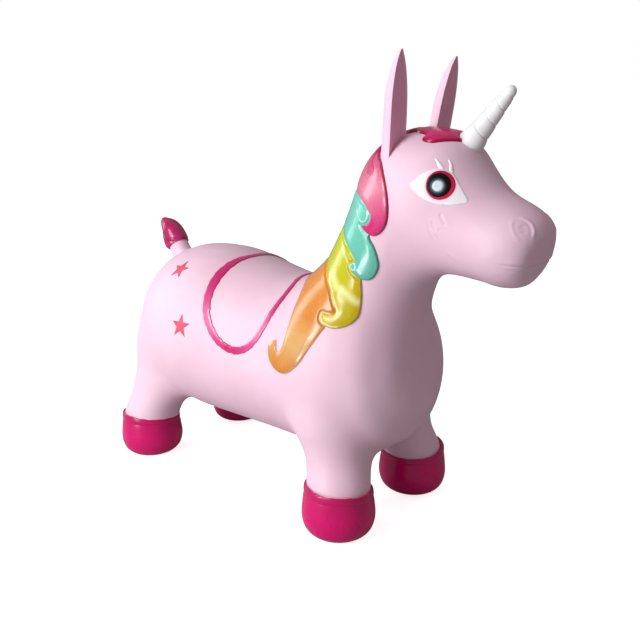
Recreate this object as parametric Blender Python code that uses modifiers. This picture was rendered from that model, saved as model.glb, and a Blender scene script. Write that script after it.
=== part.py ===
"""Inflatable bouncy unicorn for a small child to sit and hop on.

One hollow skin of soft vinyl stands on four legs. It carries the features that are moulded proud of it
or painted over it: hooves, ears, horn, mane locks, forelock, tail tuft, saddle trim, stars and eyes.
A push-in air plug closes the valve under the belly.

Metres, +Z up, +X towards the muzzle, +Y towards the animal's left. The floor is z = 0.
"""
import math

import bmesh
import bpy
import numpy as np
from mathutils import Vector
from mathutils.bvhtree import BVHTree

# Barrel
BODY_LENGTH = 0.452         # from the rump to the chest
BARREL_HEIGHT = 0.230       # fullest height, at the rump
BARREL_WIDTH = 0.230
BARREL_AXIS = 0.185         # height of the barrel's axis over the floor
RUMP_X = -0.2885            # hindmost point of the barrel
WALL = 0.0030               # vinyl skin

# Neck and head
NECK_RISE = 0.198
NECK_LEAN = 0.079           # how far the poll lies ahead of the withers
NECK_THICKNESS = 0.117      # fore and aft
NECK_WIDTH = 0.122
HEAD_LENGTH = 0.2022        # poll to muzzle
HEAD_DROP = 0.076           # fall of the head's axis from poll to muzzle
HEAD_HEIGHT = 0.130
HEAD_WIDTH = 0.128

# Legs and hooves
LEG_RADIUS = 0.0375         # just above the hoof
LEG_TOP = 0.180             # height at which a leg has run into the barrel
HOOF_RADIUS = 0.0430
HOOF_HEIGHT = 0.058

# Tail
TAIL_REACH = 0.0475         # how far back the tip lies from the root
TAIL_RISE = 0.0625
TAIL_RADIUS = 0.0172
TAIL_LOBES = 3
TAIL_LOBE_SHARE = 0.07      # depth of the swirl, as a share of the radius
TAIL_TWIST = 2.4            # swirl from root to tip, in radians

# Ears
EAR_LENGTH = 0.1126
EAR_LEAN = 0.0120           # forward, foot to tip
EAR_SPLAY = 0.0125          # outward, foot to tip
EAR_WIDTH = 0.0265
EAR_DEPTH = 0.0165
EAR_HOLLOW = 0.0022         # dish of the flat front face
EAR_FRONT_SHARES = (-1, -0.6, 0, 0.6)   # points across the front, in half widths
EAR_BACK_SIDES = 8

# Horn
HORN_REACH = 0.0496
HORN_RISE = 0.0592
HORN_RADIUS = 0.0130
HORN_TURNS = 5
HORN_GROOVE_SHARE = 0.07    # depth of the spiral groove, as a share of the radius
HORN_RINGS = 24
HORN_SIDES = 10

# Surface pieces
PAINT = 0.0008              # film of the eyes and stars
TRIM = 0.0012               # raised saddle line
LOCK_EDGE = 0.0022          # height of a mane lock at its outline
LOCK_CROWN = 0.0048         # height of a mane lock along its middle
LOCK_RIM = 0.0090           # width over which a lock rises to its crown
SADDLE_LINE = 0.0100        # width of the raised saddle line
STAR_RADIUS = 0.0165
STAR_WAIST_SHARE = 0.42
STAR_POINTS = 5

# Eye, on the cheek
EYE_SIZE = 0.0570           # corner to corner
EYE_FACING = (0.43, 0.82, 0.37)
IRIS_RADIUS = 0.0146
PUPIL_RADIUS = 0.0121
PUPIL_BACK = 0.0015         # pupil and glint lie off the iris's middle
GLINT_RADIUS = 0.0055
GLINT_BACK = 0.0025
GLINT_DROP = 0.0010

# Face relief: raised nostril rims, mouth line and cheek crease
NOSTRIL_FACING = (0.70, 0.45, 0.50)
NOSTRIL_SIZE = 0.0230       # height of a nostril's rim
NOSTRIL_RIM = 0.0015        # radius of the raised bead
MOUTH_SWEEP = 1.15          # half the mouth's arc, in radians
MOUTH_FALL = 0.10           # by which the line drops from its corner to the middle, per unit of reach
MOUTH_STEPS = 8             # points of the line on either side
MOUTH_GROOVE = 0.0011
CREASE_GROOVE = 0.0013

# Valve
BOSS_RADIUS = 0.0110
BOSS_STEP = 0.0015          # how far the boss stands out of the belly
BOSS_LENGTH = 0.0140
PLUG_RADIUS = 0.0040
PLUG_LENGTH = 0.0150
PLUG_FLANGE_RADIUS = 0.0085
PLUG_FLANGE = 0.0020

# Places along the barrel from the rump, in barrel lengths
NECK_PLACE_SHARE = 0.8308
FRONT_HOOF_PLACE_SHARE = 0.8794
HIND_HOOF_PLACE_SHARE = 0.1097
TAIL_PLACE_SHARE = 0.0863
VALVE_PLACE_SHARE = 0.5155
# Heights over the barrel's axis, in barrel heights, and tracks between the hooves' axes, in barrel widths
NECK_FOOT_SHARE = 0.2652
TAIL_ROOT_SHARE = 0.3435
FRONT_TRACK_SHARE = 0.6413
HIND_TRACK_SHARE = 0.7370
# Back of the head, from the neck's foot, in neck leans and neck rises
HEAD_BACK_SHARES = (0.1456, 0.8081)
# Places on the head from its back, in head lengths, widths and heights
EAR_PLACE_SHARES = (0.2646, 0.2875, 0.0692)        # front face at the foot
HORN_PLACE_SHARES = (0.5455, 0.0, 0.2062)
EYE_PLACE_SHARES = (0.5752, 0.0, -0.0338)
NOSTRIL_PLACE_SHARES = (0.9896, 0.2203, -0.3015)
MOUTH_PLACE_SHARES = (0.7715, 0.0, -0.5615)        # from inside here the mouth line is drawn on the skin

# Fits and grids
CLEARANCE = 0.0003          # between pieces that touch
OVERRUN = 0.060             # by which a cutter passes what it cuts
MERGE = 0.00001             # points closer than this are one
BLEND_GRID = 0.0080         # facet size while the lofts melt together
SKIN_GRID = 0.0110          # facet size of the finished skin
BLEND_PASSES = 14           # smoothing passes that round the crotches
OUTER_SHARE = 0.28          # facets kept on the plain skin, outside and inside
INNER_SHARE = 0.13
LOCK_SHARE = 0.20
NORMAL_REACH_SHARE = 1.5    # reach within which facets are averaged for a normal, in facets
PLUG_NOSE_SHARE = 0.25      # tapered part of the plug
PLUG_TIP_SHARE = 0.75
BEAD_END_SHARE = 0.4        # a bead thins to this at its two ends
BEAD_SIDES = 6
FILM_REACH_SHARE = 1 / 3    # half depth of the slab that an eye piece is cut from, in eye sizes
SIDES = 28
TAIL_SIDES = 16
TURNED_SIDES = 18
DISC_SIDES = 14
HANDS = (("right", -1), ("left", 1))

# Barrel stations: place along the length, axis height, half height, half width
BARREL_SHARES = [
    (0.002, 1.083, 0.200, 0.220),
    (0.030, 1.058, 0.530, 0.510),
    (0.093, 1.043, 0.820, 0.775),
    (0.192, 1.020, 0.970, 0.945),
    (0.314, 0.998, 1.008, 1.008),
    (0.447, 0.967, 0.950, 0.950),
    (0.580, 0.944, 0.896, 0.905),
    (0.712, 0.953, 0.910, 0.910),
    (0.803, 0.995, 0.975, 0.950),
    (0.872, 1.015, 0.950, 0.905),
    (0.956, 1.038, 0.770, 0.740),
    (1.000, 1.059, 0.420, 0.410),
]
# Neck stations: lean, rise, half thickness, half width
NECK_SHARES = [
    (0.000, 0.000, 1.326, 1.474),
    (0.260, 0.200, 1.034, 1.120),
    (0.545, 0.454, 0.995, 1.000),
    (0.835, 0.673, 1.070, 1.038),
    (1.020, 0.861, 0.915, 0.925),
    (1.000, 0.990, 0.620, 0.590),
]
# Head stations: place along the head, drop, half height, half width
HEAD_SHARES = [
    (0.010, 0.000, 0.39, 0.46),
    (0.105, 0.090, 0.73, 0.79),
    (0.250, 0.150, 0.975, 1.02),
    (0.430, 0.290, 1.075, 1.03),
    (0.570, 0.545, 0.84, 0.91),
    (0.700, 0.700, 0.70, 0.84),
    (0.880, 0.868, 0.69, 0.78),
    (0.990, 0.960, 0.51, 0.57),
]
# Leg stations: height, radius, and the lean in x and y in radii
FRONT_LEG_SHARES = [
    (0.05, 0.66, 0.00, 0.00),
    (0.11, 0.97, 0.00, 0.00),
    (0.33, 1.045, 0.00, 0.00),
    (0.50, 1.05, -0.32, -0.36),
    (0.72, 1.38, -0.66, -0.46),
    (1.00, 1.42, -0.66, -0.60),
]
HIND_LEG_SHARES = [
    (0.05, 0.68, 0.00, 0.00),
    (0.11, 1.00, 0.00, 0.00),
    (0.33, 1.09, 0.00, 0.00),
    (0.50, 1.12, 0.30, -0.32),
    (0.72, 1.10, 0.32, -0.58),
    (1.00, 1.20, 0.32, -0.75),
]
# Hoof profile from the sole's edge to the lip: radius, height
HOOF_SHARES = [(0.50, 0.00), (0.74, 0.045), (0.90, 0.15), (0.98, 0.30), (1.00, 0.46), (0.985, 0.68),
               (0.958, 0.81), (0.935, 0.86), (0.945, 0.91), (0.930, 0.98), (0.915, 1.00)]
# Ear stations from foot to tip: place, half width, depth
EAR_SHARES = [(0.00, 1.08, 1.10), (0.25, 1.02, 1.05), (0.46, 1.00, 1.00), (0.64, 0.93, 0.95),
              (0.78, 0.76, 0.80), (0.89, 0.52, 0.56), (0.96, 0.27, 0.32), (1.00, 0.08, 0.10)]
# Horn stations from foot to tip: place, radius
HORN_SHARES = [(0.00, 1.05), (0.20, 1.00), (0.26, 0.90), (0.42, 0.80), (0.60, 0.70), (0.80, 0.60),
               (0.92, 0.50), (0.97, 0.36), (1.00, 0.10)]
# Tail stations from root to tip: back, up, radius
STUB_SHARES = [(0.00, 0.00, 0.88), (0.31, 0.33, 0.88), (0.48, 0.50, 0.84), (0.57, 0.59, 0.50)]
TUFT_SHARES = [(0.37, 0.39, 1.00), (0.48, 0.50, 1.02), (0.63, 0.66, 0.93), (0.75, 0.76, 0.80),
               (0.87, 0.83, 0.63), (0.96, 0.89, 0.47), (1.00, 0.95, 0.33), (1.01, 0.99, 0.12)]

# Outlines of the mane locks seen from the side, from the foot of the neck, in neck thicknesses and
# neck rises. Each runs down its front edge, round its curled tip and back over the crest.
PINK_SHARES = [(0.10, 1.10), (0.24, 1.00), (0.34, 0.945), (0.44, 0.905), (0.525, 0.865), (0.62, 0.77),
               (0.65, 0.68), (0.63, 0.60), (0.57, 0.54), (0.48, 0.508), (0.40, 0.52), (0.33, 0.558), (0.40, 0.567), (0.445, 0.60),
               (0.43, 0.63), (0.32, 0.68), (0.10, 0.735), (-0.20, 0.79), (-0.20, 1.10)]
TEAL_SHARES = [(-0.20, 0.84), (0.45, 0.80), (0.52, 0.64), (0.46, 0.545), (0.43, 0.50), (0.475, 0.455),
               (0.505, 0.40), (0.512, 0.35), (0.48, 0.30), (0.43, 0.272), (0.36, 0.27), (0.30, 0.287),
               (0.25, 0.312), (0.235, 0.345), (0.28, 0.367), (0.24, 0.40), (0.16, 0.44), (0.02, 0.505),
               (-0.16, 0.56), (-0.42, 0.61), (-0.42, 0.84)]
YELLOW_SHARES = [(-0.42, 0.70), (0.20, 0.60), (0.34, 0.36), (0.362, 0.25), (0.368, 0.19), (0.364, 0.12),
                 (0.355, 0.07), (0.32, 0.033), (0.27, 0.012), (0.21, 0.00), (0.145, 0.00), (0.08, 0.013),
                 (0.035, 0.032), (0.022, 0.055), (0.035, 0.077), (0.095, 0.073), (0.155, 0.078),
                 (0.155, 0.095), (0.115, 0.13), (0.058, 0.185), (0.00, 0.22), (-0.05, 0.255),
                 (-0.12, 0.295), (-0.26, 0.33), (-0.60, 0.38), (-0.60, 0.70)]
ORANGE_SHARES = [(-0.60, 0.52), (0.10, 0.40), (0.20, 0.12), (0.09, -0.01), (0.00, -0.12), (-0.10, -0.22),
                 (-0.26, -0.29), (-0.40, -0.285), (-0.51, -0.235), (-0.55, -0.16), (-0.47, -0.125),
                 (-0.41, -0.18), (-0.34, -0.14), (-0.355, 0.03), (-0.41, 0.155), (-0.66, 0.175),
                 (-0.76, 0.26), (-0.90, 0.52)]
# Outlines seen from above, from the ears' line, in head widths
POLL_SHARES = [(0.05, 0.00), (0.05, 0.125), (-0.12, 0.15), (-0.165, 0.24), (-0.16, 0.33), (-0.125, 0.385),
               (-0.075, 0.43), (-0.11, 0.45), (-0.17, 0.42), (-0.22, 0.33), (-0.24, 0.17), (-0.25, 0.00)]
FORELOCK_SHARES = [(0.43, 0.00), (0.43, 0.08), (0.47, 0.12), (0.33, 0.26), (0.22, 0.265), (0.21, 0.20),
                   (0.10, 0.16), (0.065, 0.11), (0.065, 0.00)]
# Eye outlines on the cheek, forward and up, in eye sizes
EYE_WHITE_SHARES = [(-0.52, 0.00), (-0.44, 0.10), (-0.29, 0.215), (-0.105, 0.28), (0.06, 0.27),
                    (0.205, 0.205), (0.36, -0.045), (0.465, -0.21), (0.475, -0.245), (0.42, -0.30),
                    (0.12, -0.34), (-0.13, -0.295), (-0.33, -0.195)]
LASH_SHARES = {
    "rear": [(-0.045, 0.285), (-0.10, 0.40), (-0.135, 0.48), (-0.05, 0.42), (0.04, 0.285)],
    "front": [(0.125, 0.25), (0.12, 0.36), (0.09, 0.46), (0.165, 0.39), (0.195, 0.225)],
}
# A nostril's rim on the muzzle, in nostril sizes
NOSTRIL_SHARES = [(-0.13, -0.46), (-0.28, -0.26), (-0.35, 0.00), (-0.32, 0.28), (-0.17, 0.47), (0.06, 0.49),
                  (0.30, 0.38), (0.46, 0.18), (0.50, -0.10), (0.44, -0.40)]
# The crease behind the cheek, from the eye, in eye sizes
CREASE_SHARES = [(-0.10, -0.44), (-0.055, -0.465), (-0.01, -0.50), (0.04, -0.555), (0.08, -0.62),
                 (0.12, -0.70), (0.15, -0.78), (0.175, -0.865), (0.19, -0.95)]
# Stars on the rump: place along the barrel, and the angle from the spine as a share of a right angle
STAR_SHARES = [(0.258, 0.43), (0.358, 0.85), (0.060, 0.88)]
# Saddle line: place along the barrel, and the angle from the spine as a share of a right angle
SADDLE_SHARES = [(0.418, 0.00), (0.410, 0.20), (0.410, 0.40), (0.423, 0.60), (0.452, 0.76), (0.502, 0.885),
                 (0.560, 0.93), (0.610, 0.88), (0.641, 0.76), (0.654, 0.56), (0.653, 0.33), (0.622, 0.00)]

VINYL = {
    "skin": ((0.86, 0.62, 0.75), 0.45),
    "crimson": ((0.69, 0.03, 0.24), 0.25),
    "white": ((0.92, 0.92, 0.90), 0.45),
    "pink": ((0.85, 0.16, 0.38), 0.3),
    "teal": ((0.24, 0.68, 0.55), 0.3),
    "yellow": ((0.72, 0.72, 0.03), 0.3),
    "orange": ((0.90, 0.48, 0.13), 0.3),
    "coral": ((0.82, 0.15, 0.23), 0.4),
    "black": ((0.01, 0.01, 0.01), 0.25),
    "red": ((0.68, 0.03, 0.11), 0.3),
    "glint": ((0.80, 0.87, 0.90), 0.3),
    "plug": ((0.88, 0.88, 0.86), 0.4),
}


def along_barrel(share):
    return RUMP_X + share * BODY_LENGTH


def neck_foot():
    return along_barrel(NECK_PLACE_SHARE), BARREL_AXIS + NECK_FOOT_SHARE * BARREL_HEIGHT


def on_head(along, out, up):
    """A point of the head from shares of its length, width and height."""
    foot_x, foot_z = neck_foot()
    lean, rise = HEAD_BACK_SHARES
    return Vector((foot_x + lean * NECK_LEAN + along * HEAD_LENGTH, out * HEAD_WIDTH,
                   foot_z + rise * NECK_RISE + up * HEAD_HEIGHT))


def remove_everything():
    for old in list(bpy.data.objects):
        bpy.data.objects.remove(old, do_unlink=True)


def collection(name):
    group = bpy.data.collections.new(name)
    bpy.context.scene.collection.children.link(group)
    return group


def paint(thing, name):
    """Give an object its own vinyl."""
    colour, roughness = VINYL[name]
    material = bpy.data.materials.new(f"{thing.name}_{name}")
    material.use_nodes = True
    shader = material.node_tree.nodes["Principled BSDF"]
    shader.inputs["Base Color"].default_value = (*colour, 1)
    shader.inputs["Roughness"].default_value = roughness
    shader.inputs["Metallic"].default_value = 0
    thing.data.materials.clear()
    thing.data.materials.append(material)
    return thing


def mesh_object(name, bm, group):
    bmesh.ops.recalc_face_normals(bm, faces=bm.faces)
    mesh = bpy.data.meshes.new(name)
    bm.to_mesh(mesh)
    bm.free()
    thing = bpy.data.objects.new(name, mesh)
    group.objects.link(thing)
    return thing


def as_cutter(thing):
    thing.hide_render = True
    thing.display_type = "WIRE"
    return thing


def add_modifier(thing, kind, **settings):
    modifier = thing.modifiers.new(kind.title(), kind)
    for key, value in settings.items():
        setattr(modifier, key, value)
    return modifier


def cut(thing, cutter, operation="DIFFERENCE"):
    add_modifier(thing, "BOOLEAN", object=cutter, operation=operation)
    return thing


def bake(thing):
    """Replace an object's mesh with its evaluated one, for use as a form that others are cut with."""
    evaluated = thing.evaluated_get(bpy.context.evaluated_depsgraph_get())
    mesh = bpy.data.meshes.new_from_object(evaluated)
    thing.modifiers.clear()
    thing.data = mesh
    return thing


def duplicate(thing, name, group):
    copy = bpy.data.objects.new(name, thing.data.copy())
    copy.matrix_world = thing.matrix_world
    group.objects.link(copy)
    return copy


def add_loft(bm, rings, closed=False):
    """Skin a run of rings of equal length. An open run gets its two ends capped."""
    rows = [[bm.verts.new(point) for point in ring] for ring in rings]
    count = len(rows[0])
    pairs = list(zip(rows, rows[1:]))
    if closed:
        pairs.append((rows[-1], rows[0]))
    for low, high in pairs:
        for i in range(count):
            j = (i + 1) % count
            bm.faces.new((low[i], low[j], high[j], high[i]))
    if not closed:
        bm.faces.new(list(reversed(rows[0])))
        bm.faces.new(rows[-1])


def loft(name, rings, group, closed=False):
    bm = bmesh.new()
    add_loft(bm, rings, closed)
    return mesh_object(name, bm, group)


def spine_rings(stations, sides=SIDES, relief=None):
    """Oval rings square to a spine in the x-z plane; a station is (x, z, half thickness, half width).

    relief(share of the spine, angle) scales a ring's radius, for flutes and grooves.
    """
    rings = []
    last = len(stations) - 1
    for index, (x, z, thick, wide) in enumerate(stations):
        before = stations[max(index - 1, 0)]
        after = stations[min(index + 1, last)]
        along = Vector((after[0] - before[0], 0, after[1] - before[1])).normalized()
        up = Vector((-along.z, 0, along.x))
        ring = []
        for step in range(sides):
            angle = math.tau * step / sides
            scale = relief(index / last, angle) if relief else 1
            offset = up * (thick * math.cos(angle)) + Vector((0, wide * math.sin(angle), 0))
            ring.append(Vector((x, 0, z)) + offset * scale)
        rings.append(ring)
    return rings


def barrel_stations():
    return [(along_barrel(along), high * BARREL_AXIS, tall * BARREL_HEIGHT / 2, wide * BARREL_WIDTH / 2)
            for along, high, tall, wide in BARREL_SHARES]


def neck_stations():
    x, z = neck_foot()
    return [(x + lean * NECK_LEAN, z + rise * NECK_RISE, thick * NECK_THICKNESS / 2, wide * NECK_WIDTH / 2)
            for lean, rise, thick, wide in NECK_SHARES]


def head_stations():
    back = on_head(0, 0, 0)
    return [(back.x + along * HEAD_LENGTH, back.z - drop * HEAD_DROP, tall * HEAD_HEIGHT / 2,
             wide * HEAD_WIDTH / 2) for along, drop, tall, wide in HEAD_SHARES]


def leg_rings(x, y, shares):
    """Round level rings from inside the hoof up into the barrel, leaning as they rise."""
    side = math.copysign(1, y)
    rings = []
    for rise, wide, dx, dy in shares:
        radius = wide * LEG_RADIUS
        centre = Vector((x + dx * LEG_RADIUS, y + side * dy * LEG_RADIUS, rise * LEG_TOP))
        turns = [math.tau * i / SIDES for i in range(SIDES)]
        rings.append([centre + radius * Vector((math.cos(turn), math.sin(turn), 0)) for turn in turns])
    return rings


def legs():
    """The four legs: name, axis and stations."""
    for end, place, track, shares in (("front", FRONT_HOOF_PLACE_SHARE, FRONT_TRACK_SHARE, FRONT_LEG_SHARES),
                                      ("hind", HIND_HOOF_PLACE_SHARE, HIND_TRACK_SHARE, HIND_LEG_SHARES)):
        for hand, side in HANDS:
            yield f"{end}_{hand}", along_barrel(place), side * track * BARREL_WIDTH / 2, shares


def tail_stations(shares):
    x, z = along_barrel(TAIL_PLACE_SHARE), BARREL_AXIS + TAIL_ROOT_SHARE * BARREL_HEIGHT
    return [(x - back * TAIL_REACH, z + up * TAIL_RISE, wide * TAIL_RADIUS, wide * TAIL_RADIUS)
            for back, up, wide in shares]


def body_form(name, group):
    """The outer surface: lofts for barrel, neck, head and legs, melted into one smooth skin."""
    bm = bmesh.new()
    for rings in [spine_rings(barrel_stations()), spine_rings(neck_stations()), spine_rings(head_stations())]:
        add_loft(bm, rings)
    for _, x, y, shares in legs():
        add_loft(bm, leg_rings(x, y, shares))
    form = mesh_object(name, bm, group)
    add_modifier(form, "REMESH", mode="VOXEL", voxel_size=BLEND_GRID)
    add_modifier(form, "SMOOTH", factor=0.5, iterations=BLEND_PASSES)
    add_modifier(form, "REMESH", mode="VOXEL", voxel_size=SKIN_GRID)
    add_modifier(form, "SMOOTH", factor=0.5, iterations=2)
    return as_cutter(bake(form))


def with_stub(form, name, group):
    """The form with the stub of the tail, which is too thin to melt with the rest."""
    copy = duplicate(form, name, group)
    stub = as_cutter(loft("tail_stub", spine_rings(tail_stations(STUB_SHARES), TAIL_SIDES), group))
    cut(copy, stub, "UNION")
    return as_cutter(bake(copy))


def thinned(form, name, share, group):
    """A copy of a form in fewer, larger triangles where it is flattest."""
    copy = duplicate(form, name, group)
    add_modifier(copy, "TRIANGULATE")
    add_modifier(copy, "DECIMATE", ratio=share)
    return as_cutter(bake(copy))


def grown(form, name, distance, group):
    """A copy of a form with its skin moved outward."""
    copy = duplicate(form, name, group)
    add_modifier(copy, "DISPLACE", strength=distance, mid_level=0)
    return as_cutter(bake(copy))


def rounded(points, steps=4):
    """A closed outline through the points, as a Catmull-Rom curve."""
    count = len(points)
    result = []
    for i in range(count):
        a, b, c, d = (np.array(points[(i + k - 1) % count], float) for k in range(4))
        for step in range(steps):
            t = step / steps
            result.append(0.5 * (2 * b + (c - a) * t + (2 * a - 5 * b + 4 * c - d) * t ** 2
                                 + (3 * b - a - 3 * c + d) * t ** 3))
    return np.array(result)


def widened(outline, distance):
    """Move a closed outline outward by a distance."""
    ahead, behind = np.roll(outline, -1, axis=0), np.roll(outline, 1, axis=0)
    along = ahead - behind
    along /= np.linalg.norm(along, axis=1)[:, None]
    area = np.sum(outline[:, 0] * ahead[:, 1] - ahead[:, 0] * outline[:, 1])
    outward = np.stack([along[:, 1], -along[:, 0]], axis=1) * np.sign(area)
    return outline + outward * distance


def prism(name, outline, place, low, high, group):
    """A closed outline carried from low to high; place(u, v, w) gives the point."""
    rings = [[Vector(place(u, v, w)) for u, v in outline] for w in (low, high)]
    return as_cutter(loft(name, rings, group))


def from_side(u, v, w):
    return (u, w, v)


def from_above(u, v, w):
    return (u, v, w)


def facing(origin, normal, side):
    """Axes on the skin: u forward, v up, w along the outward normal. side -1 is the right-hand side."""
    w = Vector(normal).normalized()
    u = Vector((0, 0, 1)).cross(w).normalized() * -side
    v = w.cross(u) * -side
    return lambda a, b, c: Vector(origin) + u * a + v * b + w * c


def depth_inside(outline, places):
    """How far each place lies inside a closed outline; negative outside."""
    starts, ends = outline, np.roll(outline, -1, axis=0)
    run = ends - starts
    offset = places[:, None, :] - starts[None]
    share = np.clip((offset * run).sum(2) / (run ** 2).sum(1), 0, 1)
    nearest = np.linalg.norm(offset - share[..., None] * run, axis=2).min(1)
    x, z = places[:, :1], places[:, 1:]
    crosses = (starts[:, 1] > z) != (ends[:, 1] > z)
    reach = starts[:, 0] + (z - starts[:, 1]) * run[:, 0] / np.where(run[:, 1] == 0, 1e-12, run[:, 1])
    inside = (crosses & (x < reach)).sum(1) % 2 == 1
    return np.where(inside, nearest, -nearest)


def crowned(form, name, outline, group, axes=(0, 2)):
    """A copy of a form that swells under an outline, from its edge to a rounded crown."""
    copy = duplicate(form, name, group)
    count = len(copy.data.vertices)
    points, normals = np.empty(count * 3), np.empty(count * 3)
    copy.data.vertices.foreach_get("co", points)
    copy.data.vertices.foreach_get("normal", normals)
    points, normals = points.reshape(-1, 3), normals.reshape(-1, 3)
    rise = np.clip(depth_inside(outline, points[:, axes]) / LOCK_RIM, 0, 1)
    height = CLEARANCE + LOCK_EDGE + (LOCK_CROWN - LOCK_EDGE) * np.sin(rise * math.pi / 2)
    copy.data.vertices.foreach_set("co", (points + normals * height[:, None]).ravel())
    add_modifier(copy, "DECIMATE", ratio=LOCK_SHARE)
    return as_cutter(bake(copy))


def lock_jobs():
    """Each lock's name, colour, outline, drawing plane and reach, from the top one down."""
    jobs = []
    line, floor = on_head(*EAR_PLACE_SHARES).x, on_head(0, 0, 0).z
    for name, colour, half in (("forelock", "crimson", FORELOCK_SHARES),
                               ("mane_lock_poll", "pink", POLL_SHARES)):
        whole = half + [(u, -v) for u, v in reversed(half) if v]
        outline = rounded([(line + u * HEAD_WIDTH, v * HEAD_WIDTH) for u, v in whole], 2)
        jobs.append((name, colour, outline, from_above, (0, 1), floor, floor + OVERRUN * 2))
    x, z = neck_foot()
    for colour, shares in (("pink", PINK_SHARES), ("teal", TEAL_SHARES), ("yellow", YELLOW_SHARES),
                           ("orange", ORANGE_SHARES)):
        outline = rounded([(x + u * NECK_THICKNESS, z + v * NECK_RISE) for u, v in shares], 2)
        jobs.append(("mane_lock_" + colour, colour, outline, from_side, (0, 2), -BARREL_WIDTH, BARREL_WIDTH))
    return jobs


def locks(form, seat, rooms, parts, cutters):
    """The forelock and the mane: each lock wraps over the crest and is cut back by the ones above it.

    rooms starts with the ears and the horn, which stand among them; each lock adds its own.
    """
    for name, colour, outline, place, axes, low, high in lock_jobs():
        lock = prism(name, outline, place, low, high, parts)
        lock.hide_render = False
        lock.display_type = "TEXTURED"
        cut(lock, crowned(form, name + "_cover", outline, cutters, axes), "INTERSECT")
        cut(lock, seat)
        for room in rooms:
            cut(lock, room)
        paint(lock, colour)
        rooms.append(prism(name + "_room", widened(outline, CLEARANCE), place, low, high, cutters))


def surface(form):
    """Look up the skin: returns the point that a ray meets, and the mean normal about it."""
    tree = BVHTree.FromObject(form, bpy.context.evaluated_depsgraph_get())

    def look(origin, direction):
        point = tree.ray_cast(Vector(origin), Vector(direction))[0]
        normals = [hit[1] for hit in tree.find_nearest_range(point, SKIN_GRID * NORMAL_REACH_SHARE)]
        return point, sum(normals, Vector()).normalized()
    return look


def bead(name, path, radius, group):
    """A round bead along points of the skin, thin at both ends; path holds (point, normal) pairs."""
    rings = []
    last = len(path) - 1
    for index, (point, normal) in enumerate(path):
        along = (path[min(index + 1, last)][0] - path[max(index - 1, 0)][0]).normalized()
        across = along.cross(normal).normalized()
        size = radius * (BEAD_END_SHARE if index in (0, last) else 1)
        turns = [math.tau * i / BEAD_SIDES for i in range(BEAD_SIDES)]
        rings.append([point + size * (math.cos(turn) * normal + math.sin(turn) * across) for turn in turns])
    return as_cutter(loft(name, rings, group))


def face_relief(skin, look, cutters):
    """Nostril rims stand proud; the mouth line and the cheek creases are pressed in."""
    sweep = [MOUTH_SWEEP * i / MOUTH_STEPS for i in range(-MOUTH_STEPS, MOUTH_STEPS + 1)]
    inside = on_head(*MOUTH_PLACE_SHARES)
    mouth = [look(inside, (math.cos(turn), math.sin(turn), -MOUTH_FALL * math.cos(turn))) for turn in sweep]
    cut(skin, bead("mouth_line", mouth, MOUTH_GROOVE, cutters))
    for hand, side in HANDS:
        forward, out, up = NOSTRIL_PLACE_SHARES
        ahead, outward, upward = NOSTRIL_FACING
        place = facing(on_head(forward, side * out, up), (ahead, side * outward, upward), side)
        rim = on_skin(look, place, [(u * NOSTRIL_SIZE, v * NOSTRIL_SIZE) for u, v in NOSTRIL_SHARES])
        cut(skin, bead(f"nostril_{hand}", rim, NOSTRIL_RIM, cutters), "UNION")
        line = [(u * EYE_SIZE, v * EYE_SIZE) for u, v in CREASE_SHARES]
        crease = on_skin(look, eye_place(look, side), line)
        cut(skin, bead(f"cheek_crease_{hand}", crease, CREASE_GROOVE, cutters))


def on_skin(look, place, outline):
    """Carry points of a facing plane onto the skin, from outside."""
    inward = (place(0, 0, -1) - place(0, 0, 0)).normalized()
    return [look(place(u, v, OVERRUN), inward) for u, v in outline]


def eye_place(look, side):
    point = look(on_head(*EYE_PLACE_SHARES), (0, side, 0))[0]
    return facing(point, (EYE_FACING[0], side * EYE_FACING[1], EYE_FACING[2]), side)


def body_skin(plain, form, look, parts, cutters):
    """The hollow skin, with a thick boss round the valve's bore inside the belly."""
    skin = paint(duplicate(form, "body_skin", parts), "skin")
    core = thinned(grown(plain, "air_space", -WALL, cutters), "air_core", INNER_SHARE, cutters)
    belly = look((along_barrel(VALVE_PLACE_SHARE), 0, 0), (0, 0, 1))[0].z
    face = belly - BOSS_STEP
    boss = disc_prism("valve_boss", BOSS_RADIUS, face, belly + BOSS_LENGTH, cutters)
    bore = disc_prism("valve_bore", PLUG_RADIUS + CLEARANCE, face - OVERRUN, belly + OVERRUN, cutters)
    cut(skin, core)
    cut(skin, boss, "UNION")
    cut(skin, bore)
    face_relief(skin, look, cutters)
    return face


def disc_prism(name, radius, low, high, group):
    return prism(name, disc(radius, along_barrel(VALVE_PLACE_SHARE)), from_above, low, high, group)


def turned(name, profile, location, steps, group):
    """A solid turned about Z; the profile runs from the axis at the top down the outside to the axis."""
    mesh = bpy.data.meshes.new(name)
    edges = [(i, i + 1) for i in range(len(profile) - 1)]
    mesh.from_pydata([(radius, 0, z) for radius, z in profile], edges, [])
    thing = bpy.data.objects.new(name, mesh)
    group.objects.link(thing)
    thing.location = location
    add_modifier(thing, "SCREW", angle=math.tau, steps=steps, render_steps=steps, axis="Z",
                 use_merge_vertices=True, merge_threshold=MERGE)
    return thing


def hooves(seat, parts):
    side = [(wide * HOOF_RADIUS, rise * HOOF_HEIGHT) for wide, rise in reversed(HOOF_SHARES)]
    profile = [(0, HOOF_HEIGHT)] + side + [(0, 0)]
    for name, x, y, _ in legs():
        hoof = turned(f"hoof_{name}", profile, (x, y, 0), TURNED_SIDES, parts)
        cut(hoof, seat)
        paint(hoof, "crimson")


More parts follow.
